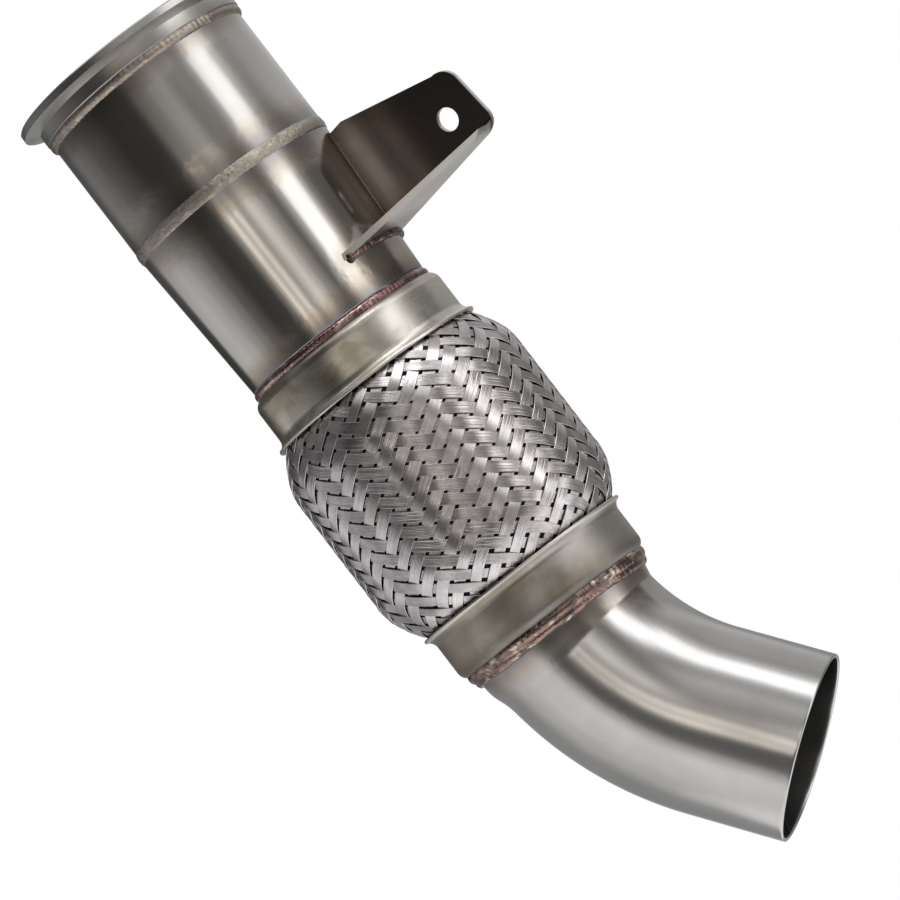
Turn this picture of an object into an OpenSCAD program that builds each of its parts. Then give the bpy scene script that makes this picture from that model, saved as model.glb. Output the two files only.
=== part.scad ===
// Turbo downpipe: a straight inlet pipe, a slow reducer, a braided flex coupling and a short outlet bend.
// The inlet flange's sealing face is at z = 0 and the gas runs down, along -Z. The outlet bends towards +X.

/* [Pipes] */
// Outside diameter of the inlet pipe
inlet_od = 83.8; // [81:0.2:88]
// Outside diameter of the reducer's small end
throat_od = 77; // [75.4:0.2:78.6]
// Outside diameter of the pipe ends that slide into the flex coupling
spigot_od = 74; // [73:0.2:75]
// Outside diameter of the outlet bend
outlet_od = 70; // [67:0.5:72]
// Wall of every pipe
pipe_wall = 1.5; // [1.2:0.1:2]
// Length of the straight inlet pipe
inlet_len = 52; // [46:1:80]
// Length of the reducer's taper
taper_len = 64; // [58:1:90]
// Length over which the reducer necks down to its spigot
neck_run = 3.2; // [2.6:0.2:4]
// Depth to which each spigot enters its collar
spigot_depth = 10; // [8:0.5:12]

/* [Inlet flange] */
// Height of the flange's clamping rim over its hub
rim_height = 5.6; // [4:0.2:8]
// Length of the flange along the pipe
flange_len = 11; // [10:0.5:16]
// Thickness of the clamping rim at its edge
rim_edge = 3; // [2:0.5:4]
// Slope of the rim's back, which the clamp draws in
rim_slope = 20; // [15:1:25]
// Thickness of the flange's hub over the bore
hub_wall = 3; // [2.4:0.2:3.6]

/* [Sensor boss] */
// Diameter of the boss
boss_od = 26; // [23:1:30]
// Tapping diameter of its thread
boss_bore = 16.5; // [15:0.5:18]
// Height of the boss above the pipe
boss_height = 9; // [7:0.5:12]
// Distance of the boss from the flange's back
boss_drop = 27; // [24:1:30]
// Chamfer on the boss's mouth
boss_chamfer = 1; // [0.5:0.1:1.5]
// Clearance between the boss's bore and the hole in the pipe under it
port_gap = 1; // [0.5:0.1:1.5]
// Direction of the boss round the pipe
boss_turn = 130; // [100:5:200]

/* [Flex coupling] */
// Distance from lip to lip, the braid that shows
flex_len = 87.3; // [80:0.1:100]
// Length of each collar, from its lip to its end
collar_len = 19.6; // [18:0.2:24]
// Wall of each collar
collar_wall = 1; // [0.8:0.1:1.2]
// Radius of the shoulder that closes each collar
shoulder_radius = 4; // [3.6:0.1:4.4]
// Radius of each lip's flare
flare_radius = 4; // [3.6:0.2:4.6]
// Angle through which each lip flares
flare_angle = 66; // [60:1:70]
// Diameter of the bead rolled on each lip's edge
lip_bead = 1.4; // [1.2:0.1:1.6]
// Wall of the inner rings
ring_wall = 1; // [0.8:0.1:1.2]
// Wall of the bellows
bellows_wall = 0.6; // [0.5:0.1:0.8]
// Thickness of the braid where the collars hold it
bound_wall = 1.3; // [1.2:0.1:1.6]
// Radial clearance between the layers inside the collars
slip = 0.1; // [0.05:0.05:0.15]

/* [Braid] */
// Strands laid each way round, a multiple of two
strands = 32; // [28:4:36]
// Rows of crossings from lip to lip, an even number
weave_rows = 26; // [22:2:30]
// Length of the barrel's rounded ends
barrel_run = 22; // [18:1:26]
// Depth inside each lip at which the barrel starts
barrel_tuck = 2; // [1.5:0.1:2.5]
// Distance from each lip to the first crossings
weave_inset = 1.2; // [0.8:0.1:1.6]
// Thickness of one strand's float over its neighbours
float_height = 0.7; // [0.5:0.1:0.9]
// Thickness of the braid under the floats
web_wall = 0.9; // [0.7:0.1:1.2]

/* [Bellows and liner] */
// Number of convolutions
convolutions = 11; // [9:1:12]
// Distance from each lip to the first convolution
bellows_inset = 9; // [8:0.5:12]
// Depth of a convolution, root to crest
convolution_depth = 6.7; // [5:0.1:7]
// Clearance between the crests and the inside of the braid's middle
bellows_gap = 3.7; // [3:0.1:5]
// Turns of the liner's strip
liner_turns = 21; // [18:1:24]
// Thickness of the liner's strip
liner_strip = 0.5; // [0.4:0.1:0.6]
// Height of each turn over the next
liner_lap = 0.6; // [0.5:0.1:0.7]

/* [Outlet bend] */
// Centreline radius of the bend
bend_radius = 105; // [95:1:130]
// Depth inside the collar at which the pipe starts to bend
bend_inset = 3.3; // [0:0.1:4]
// Angle through which the pipe turns
bend_angle = 38; // [30:1:60]
// Angle over which the swaged end follows the bend
swage_angle = 6; // [5:1:8]
// Length of the step down from the swaged end
swage_step = 4; // [3:0.5:6]
// Straight run at the outlet
outlet_run = 37; // [30:1:60]

/* [Bracket] */
// Thickness of the bracket's sheet
sheet = 2.5; // [2:0.5:3]
// Inside radius of its fold
fold_radius = 1.5; // [1:0.5:2.5]
// Height of its web
web_height = 44; // [40:1:48]
// Distance of the arm's end from the pipe's axis
arm_reach = 92; // [84:1:110]
// Height of the arm at its end
arm_height = 30; // [26:1:36]
// Radius of the arm's corners
arm_corner = 7; // [5:1:9]
// Distance of the web from the plane of the pipe's axis
web_offset = 24; // [22:1:26]
// Distance of the flange above the upper lip
flange_rise = 37.8; // [34:0.2:40]
// Angle at which the arm climbs
arm_lean = 6; // [0:1:8]
// Angle of the flange's free edge to the web
edge_angle = 31; // [28:1:34]
// Direction of the arm round the pipe
arm_turn = -14.6; // [-30:0.1:0]
// Diameter of the bolt hole
bolt_hole = 9; // [8:0.5:11]

/* [Welds] */
// Width of the seam weld between the inlet pipe and the reducer
seam_width = 5.5; // [4:0.5:7]
// Height of the seam weld
seam_height = 0.45; // [0.3:0.05:0.7]
// Bead radius of the weld above the coupling
upper_bead = 2; // [1.6:0.1:2.2]
// Bead radius of the weld below the coupling
lower_bead = 3.4; // [3:0.1:3.6]
// Bead radius of the welds on the flange and on the boss
small_bead = 2.6; // [2.4:0.1:3]
// Bead radius of the welds on the bracket
bracket_bead = 2.2; // [1.8:0.1:2.4]

/* [Hidden] */
$fn = 96;

steel = [0.62, 0.60, 0.57];
warm_steel = [0.55, 0.52, 0.46];
braid_steel = [0.66, 0.64, 0.63];
weld_brown = [0.36, 0.27, 0.25];
weld_straw = [0.52, 0.46, 0.38];

// Play that lets a cutting shape pass a face
over = 1;

// Radii of the pipes
inlet_r = inlet_od / 2;
throat_r = throat_od / 2;
spigot_r = spigot_od / 2;
outlet_r = outlet_od / 2;
bore_r = inlet_r - pipe_wall;
hub_r = bore_r + hub_wall;
flange_od = 2 * (hub_r + rim_height);

// Radii of the layers held in each collar, from the spigot out
ring_in = spigot_r + slip;
ring_out = ring_in + ring_wall;
neck_in = ring_out + slip;
neck_out = neck_in + bellows_wall;
bound_in = neck_out + slip;
bound_out = bound_in + bound_wall;
collar_in = bound_out + slip;
collar_r = collar_in + collar_wall;

// Inside of the braid's middle, over the bellows' crests, and the braid's outside diameter there
braid_in = neck_in + convolution_depth + bellows_gap;
braid_od = 2 * (braid_in + web_wall + float_height);

// Heights measured from the middle of the flex coupling
lip_z = flex_len / 2;
collar_end = lip_z + collar_len;
spigot_end = collar_end - spigot_depth;
flare_z = lip_z + (flare_radius + collar_wall / 2) * sin(flare_angle) - lip_bead / 4;
ring_stop = collar_end - collar_wall - 0.5;
neck_stop = ring_stop - 0.5;
bound_stop = collar_end - shoulder_radius;
barrel_end = lip_z + barrel_tuck;
weave_end = lip_z - weave_inset;
bellows_half = lip_z - bellows_inset;
convolution_pitch = 2 * bellows_half / convolutions;

// Heights in the part's own frame
seam_z = -flange_len - inlet_len;
taper_z = seam_z - taper_len;
collar_top = taper_z - neck_run;
flex_z = collar_top - collar_end;
lower_end_z = flex_z - collar_end;
bend_z = flex_z - collar_end + bend_inset;
boss_z = -flange_len - boss_drop;

// Moves a shape from the coupling's own frame to its place
module at_flex() translate([0, 0, flex_z]) children();

// Turns a half profile, drawn as radius and height, round the pipe's axis
module turned() rotate_extrude() children();

// Outline of the reducer's outside, or of its inside, as radius and height
function reducer_line(inset) = [
    [inlet_r - inset, seam_z],
    [throat_r - inset, taper_z],
    [spigot_r - inset, collar_top + 0.5],
    [spigot_r - inset, flex_z + spigot_end]
];

// Radius of the reducer's outside at a height
function reducer_radius(z) = throat_r + (inlet_r - throat_r) * (z - taper_z) / taper_len;

module reducer_shadow() polygon(concat([[0, flex_z + spigot_end], [0, seam_z]], reducer_line(0)));

module inlet_shadow() translate([0, seam_z]) square([inlet_r, inlet_len]);

// The solid that the two pipes would fill, used to seat what is welded on them
module pipe_body() {
    turned() reducer_shadow();
    turned() inlet_shadow();
}

// INLET END

// Rounded V rim outside, straight bore inside, bevelled at the back for the weld
module flange_profile() {
    rim_r = flange_od / 2;
    chamfer = 0.5;
    rim_back = rim_edge + (rim_r - hub_r) * tan(rim_slope);
    polygon([
        [bore_r, 0],
        [rim_r - chamfer, 0],
        [rim_r, -chamfer],
        [rim_r, -rim_edge],
        [hub_r, -rim_back],
        [hub_r, -flange_len + hub_wall - pipe_wall],
        [inlet_r, -flange_len],
        [bore_r, -flange_len]
    ]);
}

module inlet_flange() color(steel) turned() flange_profile();

module inlet_flange_weld() color(weld_straw) turned() difference() {
    translate([inlet_r - small_bead / 2, -flange_len]) circle(small_bead);
    flange_profile();
    translate([0, -flange_len - inlet_len]) square([inlet_r, inlet_len + flange_len]);
}

// Moves a shape that stands on +Z to the boss's place, its foot at the pipe's axis
module at_boss() translate([0, 0, boss_z]) rotate([0, 0, boss_turn]) rotate([0, 90, 0]) children();

module inlet_pipe() color(steel) difference() {
    translate([0, 0, seam_z]) cylinder(h = inlet_len, r = inlet_r);
    translate([0, 0, seam_z - over]) cylinder(h = inlet_len + 2 * over, r = bore_r);
    at_boss() cylinder(h = inlet_r + over, d = boss_bore + 2 * port_gap);
}

module boss_body() at_boss() difference() {
    union() {
        translate([0, 0, bore_r / 2]) cylinder(h = inlet_r - bore_r / 2 + boss_height - boss_chamfer, d = boss_od);
        translate([0, 0, inlet_r + boss_height - boss_chamfer])
            cylinder(h = boss_chamfer, d1 = boss_od, d2 = boss_od - 2 * boss_chamfer);
    }
    cylinder(h = inlet_r + boss_height + over, d = boss_bore);
}

module sensor_boss() color(steel) difference() {
    boss_body();
    turned() inlet_shadow();
}

module sensor_boss_weld() color(weld_brown) difference() {
    at_boss() turned() translate([boss_od / 2, inlet_r - 1.1]) circle(small_bead);
    turned() inlet_shadow();
    at_boss() cylinder(h = inlet_r + boss_height + over, d = boss_od);
}

// A low crown over the butt joint between the inlet pipe and the reducer
module seam_weld() {
    crown_radius = (pow(seam_width / 2, 2) + pow(seam_height, 2)) / (2 * seam_height);
    color(weld_straw) turned() difference() {
        translate([inlet_r + seam_height - crown_radius, seam_z]) circle(crown_radius, $fn = 8 * $fn);
        inlet_shadow();
        reducer_shadow();
        translate([0, seam_z - crown_radius - over])
            square([reducer_radius(seam_z - seam_width), 2 * (crown_radius + over)]);
    }
}

module reducer() color(steel) turned() difference() {
    reducer_shadow();
    polygon(concat(
        [[0, flex_z + spigot_end - over], [0, seam_z + over], [bore_r, seam_z + over]],
        reducer_line(pipe_wall),
        [[spigot_r - pipe_wall, flex_z + spigot_end - over]]
    ));
}

// SIDE BRACKET

bracket_z = flex_z + lip_z + flange_rise;
root_x = sqrt(pow(reducer_radius(bracket_z), 2) - pow(web_offset, 2));
web_back = web_offset + sheet;

// Turns and leans a shape drawn with the arm along +X and the web on its +Y side
module at_bracket() rotate([0, 0, arm_turn]) translate([root_x, 0, bracket_z])
    rotate([0, -arm_lean, 0]) translate([-root_x, 0, 0]) children();

// The folded sheet's section across the arm: flange below, web behind
module bracket_section() {
    fold_y = web_offset - fold_radius;
    fold_z = sheet + fold_radius;
    reach = 2 * web_back;
    translate([web_offset, fold_z]) square([sheet, web_height - fold_z]);
    translate([fold_y - reach, 0]) square([reach, sheet]);
    intersection() {
        translate([fold_y, fold_z]) difference() {
            circle(fold_z);
            circle(fold_radius);
        }
        translate([fold_y, 0]) square(fold_z);
    }
}

// Outline of the web from behind: full height at the pipe, lower at the arm's rounded end
module web_outline() {
    difference() {
        union() {
            polygon([
                [0, 0],
                [arm_reach - arm_corner, 0],
                [arm_reach, arm_corner],
                [arm_reach, arm_height - arm_corner],
                [arm_reach - arm_corner, arm_height],
                [root_x + 2 * arm_corner, web_height],
                [0, web_height]
            ]);
            for (z = [arm_corner, arm_height - arm_corner])
                translate([arm_reach - arm_corner, z]) circle(arm_corner);
        }
        translate([arm_reach - 2 * arm_corner, arm_height / 2]) circle(d = bolt_hole);
    }
}

// Outline of the flange from above: a long triangle from the web to its free edge
module flange_outline() {
    tip_y = web_offset - sheet - arm_corner;
    far = arm_reach + over;
    polygon([
        [0, web_back + over],
        [far, web_back + over],
        [far, tip_y],
        [0, tip_y - far * tan(edge_angle)]
    ]);
}

module bracket_sheet() at_bracket() intersection() {
    rotate([90, 0, 90]) linear_extrude(arm_reach + over) bracket_section();
    translate([0, 0, -over]) linear_extrude(web_height + 2 * over) flange_outline();
    translate([0, web_back + over, 0]) rotate([90, 0, 0]) linear_extrude(4 * web_back) web_outline();
}

module side_bracket() color(steel) difference() {
    bracket_sheet();
    pipe_body();
}

// Where the flange's free edge meets the pipe, as an angle round the pipe from the arm
tip_gap = web_offset - sheet - arm_corner - arm_reach * tan(edge_angle);
flange_tip = asin(tip_gap * cos(edge_angle) / reducer_radius(bracket_z)) + edge_angle;

// A bead under the flange, from its tip round to the web, with a blob where it starts
module bracket_flange_weld() color(weld_brown) difference() {
    at_bracket() {
        web_side = asin(web_back / reducer_radius(bracket_z));
        rotate([0, 0, flange_tip]) rotate_extrude(angle = web_side - flange_tip)
            translate([reducer_radius(bracket_z), 0]) circle(bracket_bead);
        rotate([0, 0, flange_tip]) translate([reducer_radius(bracket_z), 0, -0.3]) sphere(1.15 * bracket_bead);
    }
    bracket_sheet();
    pipe_body();
}

// A straight bead behind the web, along the line where it leaves the cone
module bracket_web_weld() {
    margin = 3;
    low_x = sqrt(pow(reducer_radius(bracket_z + margin), 2) - pow(web_back, 2));
    high_x = sqrt(pow(reducer_radius(bracket_z + web_height - margin), 2) - pow(web_back, 2));
    run = web_height - 2 * margin;
    color(weld_brown) difference() {
        rotate([0, 0, arm_turn]) translate([low_x, web_back, bracket_z + margin])
            rotate([0, atan((high_x - low_x) / run), 0]) cylinder(h = run, r = bracket_bead);
        bracket_sheet();
        pipe_body();
    }
}

// COLLARS AND THEIR WELDS

// Straight wall, rounded shoulder at the pipe's end and flared lip with a rolled bead at the braid's end
module collar_profile() {
    translate([collar_in, flare_z]) square([collar_wall, collar_end - shoulder_radius - flare_z]);
    intersection() {
        translate([collar_r - shoulder_radius, collar_end - shoulder_radius]) difference() {
            circle(shoulder_radius);
            circle(shoulder_radius - collar_wall);
        }
        translate([ring_in, collar_end - shoulder_radius]) square([collar_r - ring_in, shoulder_radius]);
    }
    difference() {
        translate([collar_r + flare_radius, flare_z]) circle(flare_radius + collar_wall);
        translate([collar_r + flare_radius, flare_z]) circle(flare_radius);
        translate([collar_r + flare_radius, flare_z]) flare_waste();
    }
    translate([
        collar_r + flare_radius - (flare_radius + collar_wall / 2) * cos(flare_angle),
        flare_z - (flare_radius + collar_wall / 2) * sin(flare_angle)
    ]) circle(d = lip_bead);
}

// What is left of the flare's circle once its sector is taken
module flare_waste() {
    far = 3 * (flare_radius + collar_wall);
    polygon([
        [0, 0],
        [-far * cos(flare_angle), -far * sin(flare_angle)],
        [far, -far],
        [far, far],
        [-far, far],
        [-far, 0]
    ]);
}

module upper_collar() color(warm_steel) at_flex() turned() collar_profile();

module lower_collar() color(warm_steel) at_flex() mirror([0, 0, 1]) turned() collar_profile();

module upper_weld() color(weld_brown) turned() difference() {
    translate([spigot_r + 0.2, collar_top + upper_bead / 2]) circle(upper_bead);
    translate([0, flex_z]) collar_profile();
    reducer_shadow();
    square([collar_r, 2 * abs(flex_z)]);
    translate([0, collar_top - shoulder_radius]) square([collar_r - shoulder_radius / 2, collar_wall]);
}

// A fat fillet round the swaged end, cut to the bend that it joins
module lower_weld() color(weld_brown) difference() {
    turned() difference() {
        translate([spigot_r - 0.6, lower_end_z - 0.2 * lower_bead]) circle(lower_bead);
        translate([0, flex_z]) mirror([0, 1]) collar_profile();
        lower_bound_shadow();
    }
    bend_rod(0, 0);
}

// The inside of the lower collar, which no weld reaches
module lower_bound_shadow() {
    translate([0, lower_end_z]) square([collar_r - shoulder_radius, shoulder_radius]);
    intersection() {
        translate([collar_r - shoulder_radius, lower_end_z + shoulder_radius]) circle(shoulder_radius - collar_wall / 2);
        translate([0, lower_end_z]) square([collar_r, 2 * shoulder_radius]);
    }
}

// LAYERS OF THE FLEX COUPLING

module inner_ring() difference() {
    translate([0, 0, barrel_end]) cylinder(h = ring_stop - barrel_end, r = ring_out);
    translate([0, 0, barrel_end - over]) cylinder(h = ring_stop - barrel_end + 2 * over, r = ring_in);
}

module upper_inner_ring() color(steel) at_flex() inner_ring();

module lower_inner_ring() color(steel) at_flex() mirror([0, 0, 1]) inner_ring();

// A point of the bellows' wall: t counts convolutions and side is -1 inside, 1 outside
bellows_steps = 12;
function bellows_point(t, side) =
    let (
        rise = (convolution_depth - bellows_wall) / 2,
        slope = rise * 360 * PI / 180 * sin(360 * t) / convolution_pitch,
        tall = norm([1, slope]),
        half = side * bellows_wall / 2
    )
    [
        neck_in + bellows_wall / 2 + rise * (1 - cos(360 * t)) + half / tall,
        -bellows_half + t * convolution_pitch - half * slope / tall
    ];

function bellows_line(side) = [
    for (i = [0:convolutions * bellows_steps]) bellows_point(i / bellows_steps, side)
];

function reversed(list) = [for (i = [len(list) - 1:-1:0]) list[i]];

module bellows() color(steel) at_flex() turned() polygon(concat(
    [[neck_out, -neck_stop]],
    bellows_line(1),
    [[neck_out, neck_stop], [neck_in, neck_stop]],
    reversed(bellows_line(-1)),
    [[neck_in, -neck_stop]]
));

// Strip-wound liner, drawn as a stepped tube: each turn stands a lap above the next
module liner() {
    half = spigot_end - 3 * slip;
    pitch = 2 * half / liner_turns;
    ridge = pitch / 2;
    outside = [
        for (i = [0:liner_turns - 1], p = [[0, 0], [ridge, 0], [ridge, 1], [pitch, 1]])
            [spigot_r - p[1] * liner_lap, -half + i * pitch + p[0]]
    ];
    inside = [
        for (i = [0:liner_turns - 1], p = [
            [i == 0 ? 0 : liner_strip, 0],
            [ridge - liner_strip, 0],
            [ridge - liner_strip, 1],
            [i == liner_turns - 1 ? pitch : pitch + liner_strip, 1]
        ])
            [spigot_r - liner_strip - p[1] * liner_lap, -half + i * pitch + p[0]]
    ];
    color(steel) at_flex() turned() polygon(concat(outside, reversed(inside)));
}

// OUTER BRAID
// Strands run both ways round a barrel, over two and under two. A site is a place on the weave: its
// row up the barrel and its column round it, two columns to a strand. Floats stand out as raised pads.

braid_r = braid_od / 2;
columns = 2 * strands;
row_step = 2 * weave_end / weave_rows;
pad_ends = 0.86;
pad_sides = 0.42;
pad_dip = 0.3;

function barrel_radius(z) = bound_out + (braid_r - bound_out) * sin(90 * min(1, (barrel_end - abs(z)) / barrel_run));

// A point over a site, sunk below the barrel's outline
function site_point(row, column, sink) =
    let (z = row * row_step - weave_end, r = barrel_radius(z) - sink, turn = column * 180 / strands)
    [r * cos(turn), r * sin(turn), z];

// Number of the shared low point at a site, where row and column add up to an odd number
function site_index(row, column) = row * strands + floor(((column + columns) % columns) / 2);

// Place on the weave of a point on a float that starts at a site: along it and across it
function float_site(hand, row, column, along, across) = [
    row + hand * (0.5 + along) + across,
    column + 0.5 + along - hand * across
];

// Outline of a float and of a single crossing, as steps along and across
float_outline = [[-1, -0.5], [0, -0.5], [1, -0.5], [1, 0.5], [0, 0.5], [-1, 0.5]];
crossing_outline = [[-1, 0], [0, 1], [1, 0], [0, -1]];

// Every float as its hand, row and column, then every crossing that the ends leave single
floats = [
    for (column = [0:2:columns - 2], row = [2:2:weave_rows - 2]) [column % 4 == 0 ? 1 : -1, row, column]
];
singles = [
    for (column = [0:2:columns - 2]) [column % 4 == 0 ? 1 : weave_rows - 1, column + 1]
];

low_points = [
    for (row = [0:weave_rows], i = [0:strands - 1]) site_point(row, 2 * i + (row % 2 == 0 ? 1 : 0), float_height)
];

float_points = [
    for (f = floats, p = float_outline)
        let (
            end = abs(p[0]),
            site = float_site(f[0], f[1], f[2], p[0] * pad_ends, p[1] * 2 * pad_sides)
        )
        site_point(site[0], site[1], end * pad_dip)
];

single_points = [
    for (s = singles, p = crossing_outline)
        site_point(s[0] + p[0] * pad_sides * 2, s[1] + p[1] * pad_sides * 2, pad_dip)
];

// Rings that close the shell: over the top, down the inside and back under the bottom
ring_flat = 1 / cos(180 / strands);
end_rings = [
    [bound_out, barrel_end],
    [bound_out, bound_stop],
    [bound_in * ring_flat, bound_stop],
    [bound_in * ring_flat, barrel_end - over]
];
inner_rings = [
    for (row = [weave_rows:-2:0])
        let (z = row * row_step - weave_end) [barrel_radius(z) - float_height - web_wall, z]
];
rings = concat(
    end_rings,
    inner_rings,
    [for (i = [len(end_rings) - 1:-1:0]) [end_rings[i][0], -end_rings[i][1]]]
);
ring_points = [
    for (r = rings, i = [0:strands - 1])
        let (turn = (2 * i + 1) * 180 / strands) [r[0] * cos(turn), r[0] * sin(turn), r[1]]
];

// Faces of a band between two rings of strands points, given by their first points
function band(a, b) = [
    for (i = [0:strands - 1], f = [[a + i, b + i, b + (i + 1) % strands], [a + i, b + (i + 1) % strands, a + (i + 1) % strands]])
        f
];

// Faces of a pad's sloping sides, between its low outline and its top points
function skirt(low, top) = [
    for (i = [0:len(low) - 1], f = let (j = (i + 1) % len(low)) [[low[i], top + i, top + j], [low[i], top + j, low[j]]])
        f
];

module braid_shell() {
    float_base = len(low_points);
    single_base = float_base + len(float_points);
    ring_base = single_base + len(single_points);
    float_faces = [
        for (i = [0:len(floats) - 1])
            let (
                f = floats[i],
                top = float_base + 6 * i,
                low = [
                    for (p = float_outline)
                        let (site = float_site(f[0], f[1], f[2], p[0], p[1])) site_index(site[0], site[1])
                ]
            )
            each concat(skirt(low, top), [
                [top, top + 5, top + 4],
                [top, top + 4, top + 1],
                [top + 1, top + 4, top + 3],
                [top + 1, top + 3, top + 2]
            ])
    ];
    single_faces = [
        for (i = [0:len(singles) - 1])
            let (
                s = singles[i],
                top = single_base + 4 * i,
                low = [for (p = crossing_outline) site_index(s[0] + p[0], s[1] + p[1])]
            )
            each concat(skirt(low, top), [[top, top + 3, top + 2], [top, top + 2, top + 1]])
    ];
    edge_faces = [
        for (column = [0:2:columns - 2], f = [
            [site_index(0, column - 1), site_index(1, column), site_index(0, column + 1)],
            [
                site_index(weave_rows, column - 1),
                site_index(weave_rows, column + 1),
                site_index(weave_rows - 1, column)
            ]
        ])
            f
    ];
    last = len(rings) - 1;
    ring_faces = [
        for (i = [0:last]) each band(
            i == 0 ? weave_rows * strands : ring_base + (i - 1) * strands,
            ring_base + i * strands
        )
    ];
    polyhedron(
        points = concat(low_points, float_points, single_points, ring_points),
        faces = concat(float_faces, single_faces, edge_faces, ring_faces, band(ring_base + last * strands, 0))
    );
}

module outer_braid() color(braid_steel) at_flex() braid_shell();

// OUTLET BEND

// Carries a shape round the bend by an angle, from the bend's start
module round_bend(angle) translate([bend_radius, 0, 0]) rotate([0, -angle, 0])
    translate([-bend_radius, 0, 0]) children();

// One curved stretch of rod from the bend's start
module curved_rod(radius, angle) translate([bend_radius, 0, 0]) rotate([90, 0, 0]) rotate([0, 0, 180])
    rotate_extrude(angle = angle) translate([bend_radius, 0]) circle(radius);

// A straight or tapered stretch of rod, hanging from z = 0
module hanging_rod(top_r, low_r, length) translate([0, 0, -length]) cylinder(h = length, r1 = low_r, r2 = top_r);

// The outlet as a solid rod, thinner than the pipe by an inset and longer at both ends by some play.
// Each straight stretch laps over the end of the curved one before it, which is thinner by a hair.
lap = 0.3;
hair = 0.03;
module bend_rod(inset, play) translate([0, 0, bend_z]) {
    swaged = spigot_r - inset;
    plain = outlet_r - inset;
    translate([0, 0, spigot_depth - bend_inset + play])
        hanging_rod(swaged, swaged, spigot_depth - bend_inset + play);
    curved_rod(swaged - hair, swage_angle);
    round_bend(swage_angle) {
        translate([0, 0, lap]) hanging_rod(swaged, plain, swage_step + 2 * lap);
        translate([0, 0, -swage_step]) {
            curved_rod(plain - hair, bend_angle - swage_angle);
            round_bend(bend_angle - swage_angle)
                translate([0, 0, lap]) hanging_rod(plain, plain, outlet_run + play + lap);
        }
    }
}

module outlet_bend() color(steel) difference() {
    bend_rod(0, 0);
    bend_rod(pipe_wall, over);
}

inlet_flange();
inlet_flange_weld();
inlet_pipe();
sensor_boss();
sensor_boss_weld();
seam_weld();
reducer();
side_bracket();
bracket_flange_weld();
bracket_web_weld();
upper_weld();
upper_collar();
upper_inner_ring();
outer_braid();
bellows();
liner();
lower_inner_ring();
lower_collar();
lower_weld();
outlet_bend();
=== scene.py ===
# %% [markdown]
# # A turbo downpipe with a braided flex coupling
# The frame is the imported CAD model: pipes, flange, collars, bracket and the layers of the flex coupling,
# each already at its real size and place. This lesson dresses it. Most of the pieces are turned, drawn or
# folded metal whose shape is right, so they keep their CAD mesh and only get a finish. The woven sleeve, the
# weld beads and the outlet bend are different: their small forms catch the light, so they are built again
# as detailed meshes that stand where the CAD's nodes stand.

# %% Load the frame
import math
import random

import bmesh
import bpy
import numpy as np
from mathutils import Matrix, Vector, noise


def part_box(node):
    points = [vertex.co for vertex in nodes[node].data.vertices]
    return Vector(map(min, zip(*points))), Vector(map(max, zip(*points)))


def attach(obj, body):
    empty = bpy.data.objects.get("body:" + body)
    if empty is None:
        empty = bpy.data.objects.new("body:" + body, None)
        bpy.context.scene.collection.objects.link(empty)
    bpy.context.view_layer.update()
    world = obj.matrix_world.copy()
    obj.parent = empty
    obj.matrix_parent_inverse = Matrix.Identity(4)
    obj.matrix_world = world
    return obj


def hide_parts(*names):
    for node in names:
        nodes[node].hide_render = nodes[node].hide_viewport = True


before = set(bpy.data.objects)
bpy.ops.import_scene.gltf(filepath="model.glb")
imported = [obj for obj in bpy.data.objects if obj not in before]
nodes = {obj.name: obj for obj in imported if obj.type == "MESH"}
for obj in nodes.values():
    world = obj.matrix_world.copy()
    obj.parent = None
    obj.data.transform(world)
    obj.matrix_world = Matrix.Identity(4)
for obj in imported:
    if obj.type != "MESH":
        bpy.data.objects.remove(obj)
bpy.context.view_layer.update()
MM = 0.001

# %% [markdown]
# Each new piece has to sit on the pieces that carry it. Every height could be typed again, but then it could
# disagree with the CAD, so the sizes that a node's box can give are read off the frame. The few that a box
# can't give, such as a radius inside a collar, are typed from the CAD's own values.

# %% Read the main sizes
upper_joint_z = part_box("upper_collar")[1].z
lower_joint_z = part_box("lower_collar")[0].z
flex_z = (upper_joint_z + lower_joint_z) / 2
seam_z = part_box("inlet_pipe")[0].z
flange_back_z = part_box("inlet_flange")[0].z
inlet_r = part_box("inlet_pipe")[1].x
braid_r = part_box("outer_braid")[1].x
SPIGOT_R = 37 * MM
THROAT_R = 38.5 * MM
NECK_RUN = 3.2 * MM
BOUND_R = 40.2 * MM  # radius of the sleeve where the collars hold it
LIP_HALF = 43.65 * MM  # from the coupling's middle to a collar's lip
print("flex middle", round(flex_z, 5), "seam", round(seam_z, 5), "braid radius", round(braid_r, 4))


def reducer_radius(z):
    """Outside radius of the reducer at a height."""
    taper_end_z = upper_joint_z + NECK_RUN
    part = (z - taper_end_z) / (seam_z - taper_end_z)
    return THROAT_R + (inlet_r - THROAT_R) * part


# %% [markdown]
# The camera stands a little to the right of the front and slightly low, with a long lens, and it is rolled
# so that the pipe lies across the picture from the upper left to the lower right. It could be turned by hand
# in the viewport. Here its three directions are worked out from an azimuth, an elevation and a roll, so that
# each can be corrected alone, and its aim is moved by whole pixels of the picture.

# %% Camera
AZIMUTH, ELEVATION, ROLL = 16.4, -3.2, 37.5
DISTANCE, FOCAL_PX, IMAGE_PX, SENSOR_MM = 1.665, 4580, 900, 36
AIM_RIGHT_PX, AIM_UP_PX = 0.9, 25.2
az, el, roll = (math.radians(v) for v in (AZIMUTH, ELEVATION, ROLL))
towards = Vector((math.sin(az) * math.cos(el), -math.cos(az) * math.cos(el), math.sin(el)))
level_right = Vector((0, 0, 1)).cross(towards).normalized()
level_up = towards.cross(level_right)
right = level_right * math.cos(roll) - level_up * math.sin(roll)
up = level_right * math.sin(roll) + level_up * math.cos(roll)
pixel = DISTANCE / FOCAL_PX
aim = Vector((0, 0, flex_z)) + right * (AIM_RIGHT_PX * pixel) + up * (AIM_UP_PX * pixel)

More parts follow.
